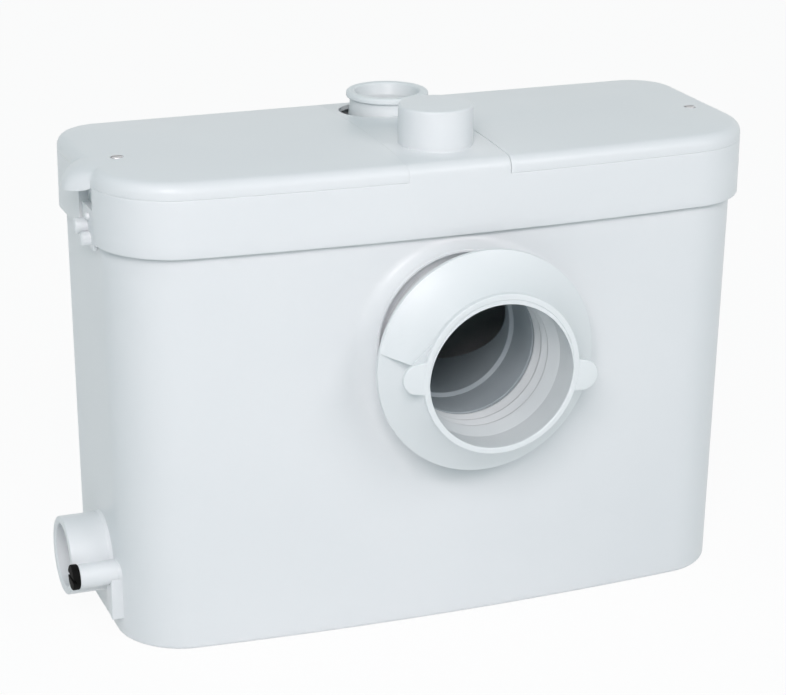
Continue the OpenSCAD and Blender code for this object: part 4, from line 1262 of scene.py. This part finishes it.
@dataclass
class OutletSpout:
    """Soft upright sleeve with a rolled lip that takes the discharge pipe."""

    foot: float = 300.0
    foot_r: float = 27.0
    top: float = 341.2
    bore: float = 20.2
    neck: float = 25.9
    lip: float = 28.6

    def build(self) -> None:
        """Makes the sleeve."""
        t = self.top
        outline = rounded([(self.bore, self.foot, 0.3), (self.foot_r, self.foot, 0.3),
                           (self.foot_r, t - 17.0, 0.6), (26.2, t - 10.0, 1.5), (self.neck, t - 5.0, 0.4),
                           (26.9, t - 4.5, 0.3), (28.2, t - 4.0, 0.5), (self.lip, t - 3.3, 0.6),
                           (self.lip - 0.1, t - 1.0, 0.8), (27.4, t, 0.9), (23.2, t, 0.5),
                           (22.4, t - 0.9, 0.6), (self.bore, t - 8.0, 1.5)], 6)
        made = Solid.lathe(outline, Axis.UP, (*COLUMN_AT, 0), 160)
        settle(made.piece("outlet_spout_sleeve", 50.0), "housing", "white_rubber", "discharge_spout")


@dataclass
class PanSleeve:
    """Soft front sleeve with a flared flange, sealing lips and two pull tabs."""

    centre: Place = (PAN_AT[0], 0.0, PAN_AT[1])
    face: float = 141.6
    bore: float = 51.3
    rim: float = 54.9
    flange: float = 76.5
    edge: float = 109.5
    neck: float = 61.4
    seat: float = 100.0
    nose: tuple[float, float, float] = (53.5, 56.7, 110.3)
    mouth_edge: float = 0.7
    turns: Spot = (-7.4, 176.6)
    tab_r: float = 10.4
    tab_at: float = 58.7
    tab_root: float = 13.0
    tab_foot: Spot = (51.9, 54.6)
    ridge: float = 9.6
    fold_u: Spot = (64.0, 11.6)
    fold_side: float = 27.0
    sag: float = 2.9
    lead: float = 3.5
    land: float = 27.0
    lips: int = 3
    lip_pitch: float = 11.0
    lip_r: float = 47.5

    def bell(self) -> list[Place]:
        """Outline of the flare from the flange's edge to the mouth.

        Returns:
            Its corners with their roundings.
        """
        a, b = np.array((self.flange, self.edge + 4.6)), np.array((61.3, self.edge + 14.0))
        c = np.array((self.rim - 0.4, self.face - 4.2))
        return [(*((1 - t) ** 2 * a + 2 * t * (1 - t) * b + t * t * c), 0.0)
                for t in np.linspace(0, 1, 22)]

    def inside(self) -> list[Place]:
        """Outline of the bore with its lips and the slot over the tube's nose, from the mouth inwards.

        Returns:
            Its corners with their roundings.
        """
        mouth = self.bore - self.mouth_edge
        made = [(mouth, self.face, 0.9), (mouth, self.face - 2.2, 0.5), (self.bore, self.face - 2.8, 0.3)]
        for i in range(self.lips):
            front = self.face - self.land - i * self.lip_pitch
            made += [(self.bore, front + (0 if i else self.lead), 0.6), (self.lip_r, front - 7.4, 1.6),
                     (self.lip_r + 0.3, front - 9.0, 0.6),
                     (self.bore + 0.5, front - 9.4, 0.3), (self.bore + 0.5, front - 10.9, 0)]
        tail = self.face - self.land - self.lips * self.lip_pitch
        inner, outer, end = self.nose
        return made + [(self.bore, tail, 0.3), (inner, tail, 0.3), (inner, end, 0), (outer, end, 0),
                       (outer, self.seat, 0)]

    @staticmethod
    def spot(turn: float, u: float, v: float, c: float) -> Place:
        """Point at u outwards at an angle, v across and c along the axis."""
        t = math.radians(turn)
        return (u * math.cos(t) - v * math.sin(t), u * math.sin(t) + v * math.cos(t), c)

    def tab(self, turn: float) -> Solid:
        """A round tab beside the mouth.

        Args:
            turn: its place round the mouth in degrees.

        Returns:
            The solid.
        """
        bend = np.radians(np.linspace(-90, 90, 25))
        root, waist = self.tab_foot
        flat = [(root, -self.tab_root), (waist, -self.tab_r - 0.5)]
        flat += [(self.tab_at + self.tab_r * math.cos(b), self.tab_r * math.sin(b)) for b in bend]
        flat += [(waist, self.tab_r + 0.5), (root, self.tab_root)]
        outline = np.array([self.spot(turn, u, v, 0)[:2] for u, v in flat])
        plate = Solid.extruded(outline, Axis.FRONT, self.centre, self.face - 3.6, self.face - 0.3)
        return plate.soften(0.9, lambda p: True, 50.0)

    def fold(self, turn: float) -> Solid:
        """Fold from a tab's edge to the flange's edge.

        Args:
            turn: the tab's place round the mouth in degrees.

        Returns:
            The solid.
        """
        bell = np.array(self.bell())
        start, end, across = self.face - 2.4, self.edge + 4.6, self.fold_side
        sections = []
        for share in np.linspace(0, 1, 9):
            u, c = self.fold_u[0] + self.fold_u[1] * share, start - (start - end) * share
            r = float(np.interp(c, bell[:, 1], bell[:, 0]))
            corners = ((u, -self.ridge, c), (r - 2.5, -self.ridge + 1.2, c - 1.0),
                       (r - 5.0, -18.0, c - 2.0), (math.sqrt(r * r - across ** 2) - 0.8, -across, c))
            points = np.array([self.spot(turn, *corner) for corner in corners])
            sections.append(Axis.FRONT.put(points, self.centre))
        return Solid.loft(sections)

    def droop(self) -> Solid:
        """Crescent by which the soft mouth hangs in at the top.

        Returns:
            The solid.
        """
        x, y, z = self.centre
        face, bore = self.face, self.bore
        made = Solid.rod(Axis.FRONT, self.centre, face - 4.0, face - 0.8, bore + 0.3, steps=128)
        return made.cut(Solid.rod(Axis.FRONT, (x, y, z - self.sag), face - 10, face + 5,
                                  bore - self.mouth_edge, steps=128))

    def build(self) -> None:
        """Makes the sleeve with its tabs."""
        e = self.edge
        back = [(self.neck, self.seat, 0), (self.neck, e + 7.0, 2.0), (self.flange - 7.0, e + 2.0, 2.0),
                (self.flange - 1.6, e, 0.8), (self.flange, e + 1.4, 0.9)]
        rim = [(self.rim, self.face - 3.8, 0.3), (self.rim, self.face, 0.9)]
        outline = rounded(back + self.bell() + rim + self.inside())
        made = Solid.lathe(outline, Axis.FRONT, self.centre, 192)
        made.add(*(self.tab(turn) for turn in self.turns))
        made.add(self.fold(self.turns[1]), self.droop())
        settle(made.piece("pan_sleeve", 40.0), "housing", "white_rubber", "pan_connector")


@dataclass
class InletPipe:
    """Grey stepped tube behind the pan sleeve, its inner end cut off at a slant."""

    slant: Place = (1.1, 1.0, 0.44)
    slant_y: float = 8.0
    back: float = -26.0
    bore: float = 44.6
    wide: float = 47.5
    socket: float = 53.8
    outer: float = 56.4
    flange: float = 62.4
    block: float = 150.0

    def slanted(self) -> Solid:
        """Block that takes the slanting end off.

        Returns:
            The solid that is cut off.
        """
        centre = np.array((PAN_AT[0], self.slant_y, PAN_AT[1]))
        n = np.array(self.slant) / np.linalg.norm(self.slant)
        u = np.cross(n, (0, 0, 1.0))
        u /= np.linalg.norm(u)
        v = np.cross(n, u)
        flat = np.array([centre + self.block * (a * u + b * v)
                         for a, b in ((-1, -1), (1, -1), (1, 1), (-1, 1))])
        return Solid.loft([flat, flat + self.block * n])

    def build(self) -> None:
        """Makes the tube."""
        outline = rounded([(self.wide, 81.3, 0.5), (self.socket, 81.3, 0), (self.socket, 110.0, 0.3),
                           (self.outer, 110.0, 0.3), (self.outer, 100.0, 0), (self.flange, 100.0, 0),
                           (self.flange, 97.2, 0), (self.outer, 97.2, 0), (self.outer, self.back, 0.5),
                           (self.bore, self.back, 0.5), (self.bore, 49.4, 0.6), (self.wide, 50.6, 0.3)])
        made = Solid.lathe(outline, Axis.FRONT, (PAN_AT[0], 0, PAN_AT[1]), 160).cut(self.slanted())
        settle(made.piece("inlet_pipe"), "housing", "grey_pipe", "inlet_tube")


@dataclass
class CordCleat:
    """Cleat of staggered round lobes that grips the cord at the foot of its groove."""

    back: float = -225.5
    front: float = -228.4
    foot: float = -223.5
    y: Spot = (-32.0, -5.0)
    low: float = 270.4
    foot_z: Spot = (294.0, 297.0)
    lobes: tuple[tuple[float, float, float, float], ...] = (
        (-22.5, 276.6, 4.7, -234.8), (-14.0, 283.2, 5.2, -236.6), (-22.0, 291.5, 2.6, -231.0))

    def build(self) -> None:
        """Makes plate, foot and lobes."""
        (y0, y1), (z0, z1) = self.y, self.foot_z
        made = Solid.slab((self.front, y0, self.low), (self.back, y1, z1), 0.8)
        made.add(Solid.slab((self.front, y0, z0), (self.foot, y1, z1), 0.4))
        made.add(*(Solid.rod(Axis.RIGHT, (0, y, z), tip, self.back - 1, r, 2.0)
                   for y, z, r, tip in self.lobes))
        settle(made.piece("cord_cleat"), "housing", "white_abs", "cord_grip")


class Workings:
    """The inner parts, whose CAD solids show as they are."""

    def dress(self) -> None:
        """Gives each shown node the finish of its slot."""
        for row in frame["record"]["subparts"]:
            node = frame["nodes"][row["node"]]
            if node.hide_render:
                continue
            node.data.materials.clear()
            node.data.materials.append(FINISHES[row["material_slot"]].material())
            LOG.info("%s dressed as %s", row["node"], row["material_slot"])


# Studio

@dataclass(frozen=True)
class Lamp:
    """A soft area lamp aimed at the pump."""

    name: str
    at: Place
    size: float
    watts: float
    colour: Colour = (1.0, 1.0, 1.0)

    def place(self, goal: Vector) -> None:
        """Puts the lamp up.

        Args:
            goal: the point that it faces.
        """
        light = bpy.data.lights.new(self.name, "AREA")
        light.shape, light.size = "DISK", self.size
        light.energy, light.color = self.watts, self.colour
        made = bpy.data.objects.new(self.name, light)
        made.location = self.at
        made.rotation_euler = (goal - Vector(self.at)).to_track_quat("-Z", "Y").to_euler()
        bpy.context.scene.collection.objects.link(made)


@dataclass
class Studio:
    """Camera, lamps, surrounding light and floor."""

    eye: Place = (-0.5803, -1.4763, 0.7298)
    right: Place = (0.9337, -0.3581, 0.0087)
    up: Place = (0.1121, 0.3152, 0.9424)
    focal_pixels: float = 2399.4
    image_width: float = 786.0
    sensor: float = 36.0
    around: Colour = (0.60, 0.94, 1.0)
    around_strength: float = 0.30
    behind: Colour = (1.0, 0.80, 0.76)
    behind_strength: float = 3.2
    behind_way: Spot = (0.55, 0.83)
    goal: Place = (0.0, 0.0, 0.17)
    floor_white: float = 0.94
    floor_grey: Colour = (0.86, 0.86, 0.86)
    floor_r: float = 12.0
    floor_z: float = -0.0002
    floor_steps: int = 64
    lamps: tuple[Lamp, ...] = (
        Lamp("key_lamp", (-0.92, -1.98, 1.59), 1.1, 33.0, (1.0, 0.93, 0.94)),
        Lamp("right_lamp", (1.10, -1.91, 1.55), 1.0, 12.0, (1.0, 0.93, 0.94)),
        Lamp("left_lamp", (-1.55, -0.41, 2.22), 1.1, 6.0, (1.0, 0.93, 0.94)),
    )

    def camera(self) -> None:
        """Camera at the photograph's angle."""
        right = Vector(self.right).normalized()
        back = right.cross(Vector(self.up)).normalized()
        up = back.cross(right)
        data = bpy.data.cameras.new("photo_camera")
        data.sensor_fit, data.sensor_width = "HORIZONTAL", self.sensor
        data.lens = self.focal_pixels / self.image_width * self.sensor
        made = bpy.data.objects.new("photo_camera", data)
        turn = Matrix((right, up, back)).transposed().to_4x4()
        made.matrix_world = Matrix.Translation(self.eye) @ turn
        bpy.context.scene.collection.objects.link(made)
        bpy.context.scene.camera = made

    @staticmethod
    def seen(tree: NodeTree) -> Wire:
        """Marks the rays that show the backdrop: from the camera, in gloss and through glass.

        Args:
            tree: the nodes of the floor or of the world.

        Returns:
            1 on such rays, or else 0.
        """
        rays = [tree.node("ShaderNodeLightPath", {}, {}, name)
                for name in ("Is Camera Ray", "Is Glossy Ray", "Is Transmission Ray")]
        return rays[0].most(rays[1]).most(rays[2])

    def surroundings(self) -> None:
        """Even soft light, brighter from low behind, with a white backdrop."""
        world = bpy.data.worlds.new("studio_world")
        bpy.context.scene.world = world
        tree = NodeTree(world)
        even = tree.node("ShaderNodeBackground", {},
                         {"Color": (*self.around, 1.0), "Strength": self.around_strength})
        way = tree.node("ShaderNodeTexCoord", {}, {}, "Generated")
        x, y, z = (tree.node("ShaderNodeSeparateXYZ", {}, {"Vector": way}, name) for name in "XYZ")
        facing = (x * self.behind_way[0] + y * self.behind_way[1]).most(0.0)
        low = 1.0 - z.most(0.0)
        glow = facing ** 2.0 * low ** 4.0 * self.behind_strength
        rear = tree.node("ShaderNodeBackground", {}, {"Color": (*self.behind, 1.0), "Strength": glow})
        light = tree.node("ShaderNodeAddShader", {}, {0: even, 1: rear})
        white = tree.node("ShaderNodeBackground", {}, {"Color": (1.0, 1.0, 1.0, 1.0), "Strength": 1.0})
        both = tree.node("ShaderNodeMixShader", {}, {0: self.seen(tree), 1: light, 2: white})
        tree.surface(both, "ShaderNodeOutputWorld")

    def floor(self) -> None:
        """Pale floor that keeps the shadow."""
        mesh = bpy.data.meshes.new("studio_floor")
        points = hoop(circle(self.floor_steps), self.floor_r, self.floor_z)
        mesh.from_pydata([tuple(p) for p in points], [], [tuple(range(self.floor_steps))])
        made = bpy.data.objects.new("studio_floor", mesh)
        bpy.context.scene.collection.objects.link(made)
        look = bpy.data.materials.new("studio_floor_finish")
        tree = NodeTree(look)
        pale = tree.node("ShaderNodeBsdfDiffuse", {}, {"Color": (*self.floor_grey, 1.0)})
        glow = tree.node("ShaderNodeEmission", {}, {"Color": (1.0, 1.0, 1.0, 1.0), "Strength": 1.0})
        share = self.seen(tree) * self.floor_white
        tree.surface(tree.node("ShaderNodeMixShader", {}, {0: share, 1: pale, 2: glow}))
        mesh.materials.append(look)

    def build(self) -> None:
        """Sets the studio up."""
        bpy.context.scene.view_settings.view_transform = "Standard"
        self.camera()
        self.surroundings()
        self.floor()
        for lamp in self.lamps:
            lamp.place(Vector(self.goal))


def main() -> None:
    """Builds the pump's looks piece by piece, then the studio."""
    logging.basicConfig(level=logging.INFO, format="%(name)s: %(message)s")
    for part in (Tank(), SideInlet(), DrainPlug(), Lid(), VentCap(), OutletSpout(), PanSleeve(),
                 InletPipe(), CordCleat()):
        part.build()
    Workings().dress()
    Studio().build()


if __name__ == "__main__":
    main()
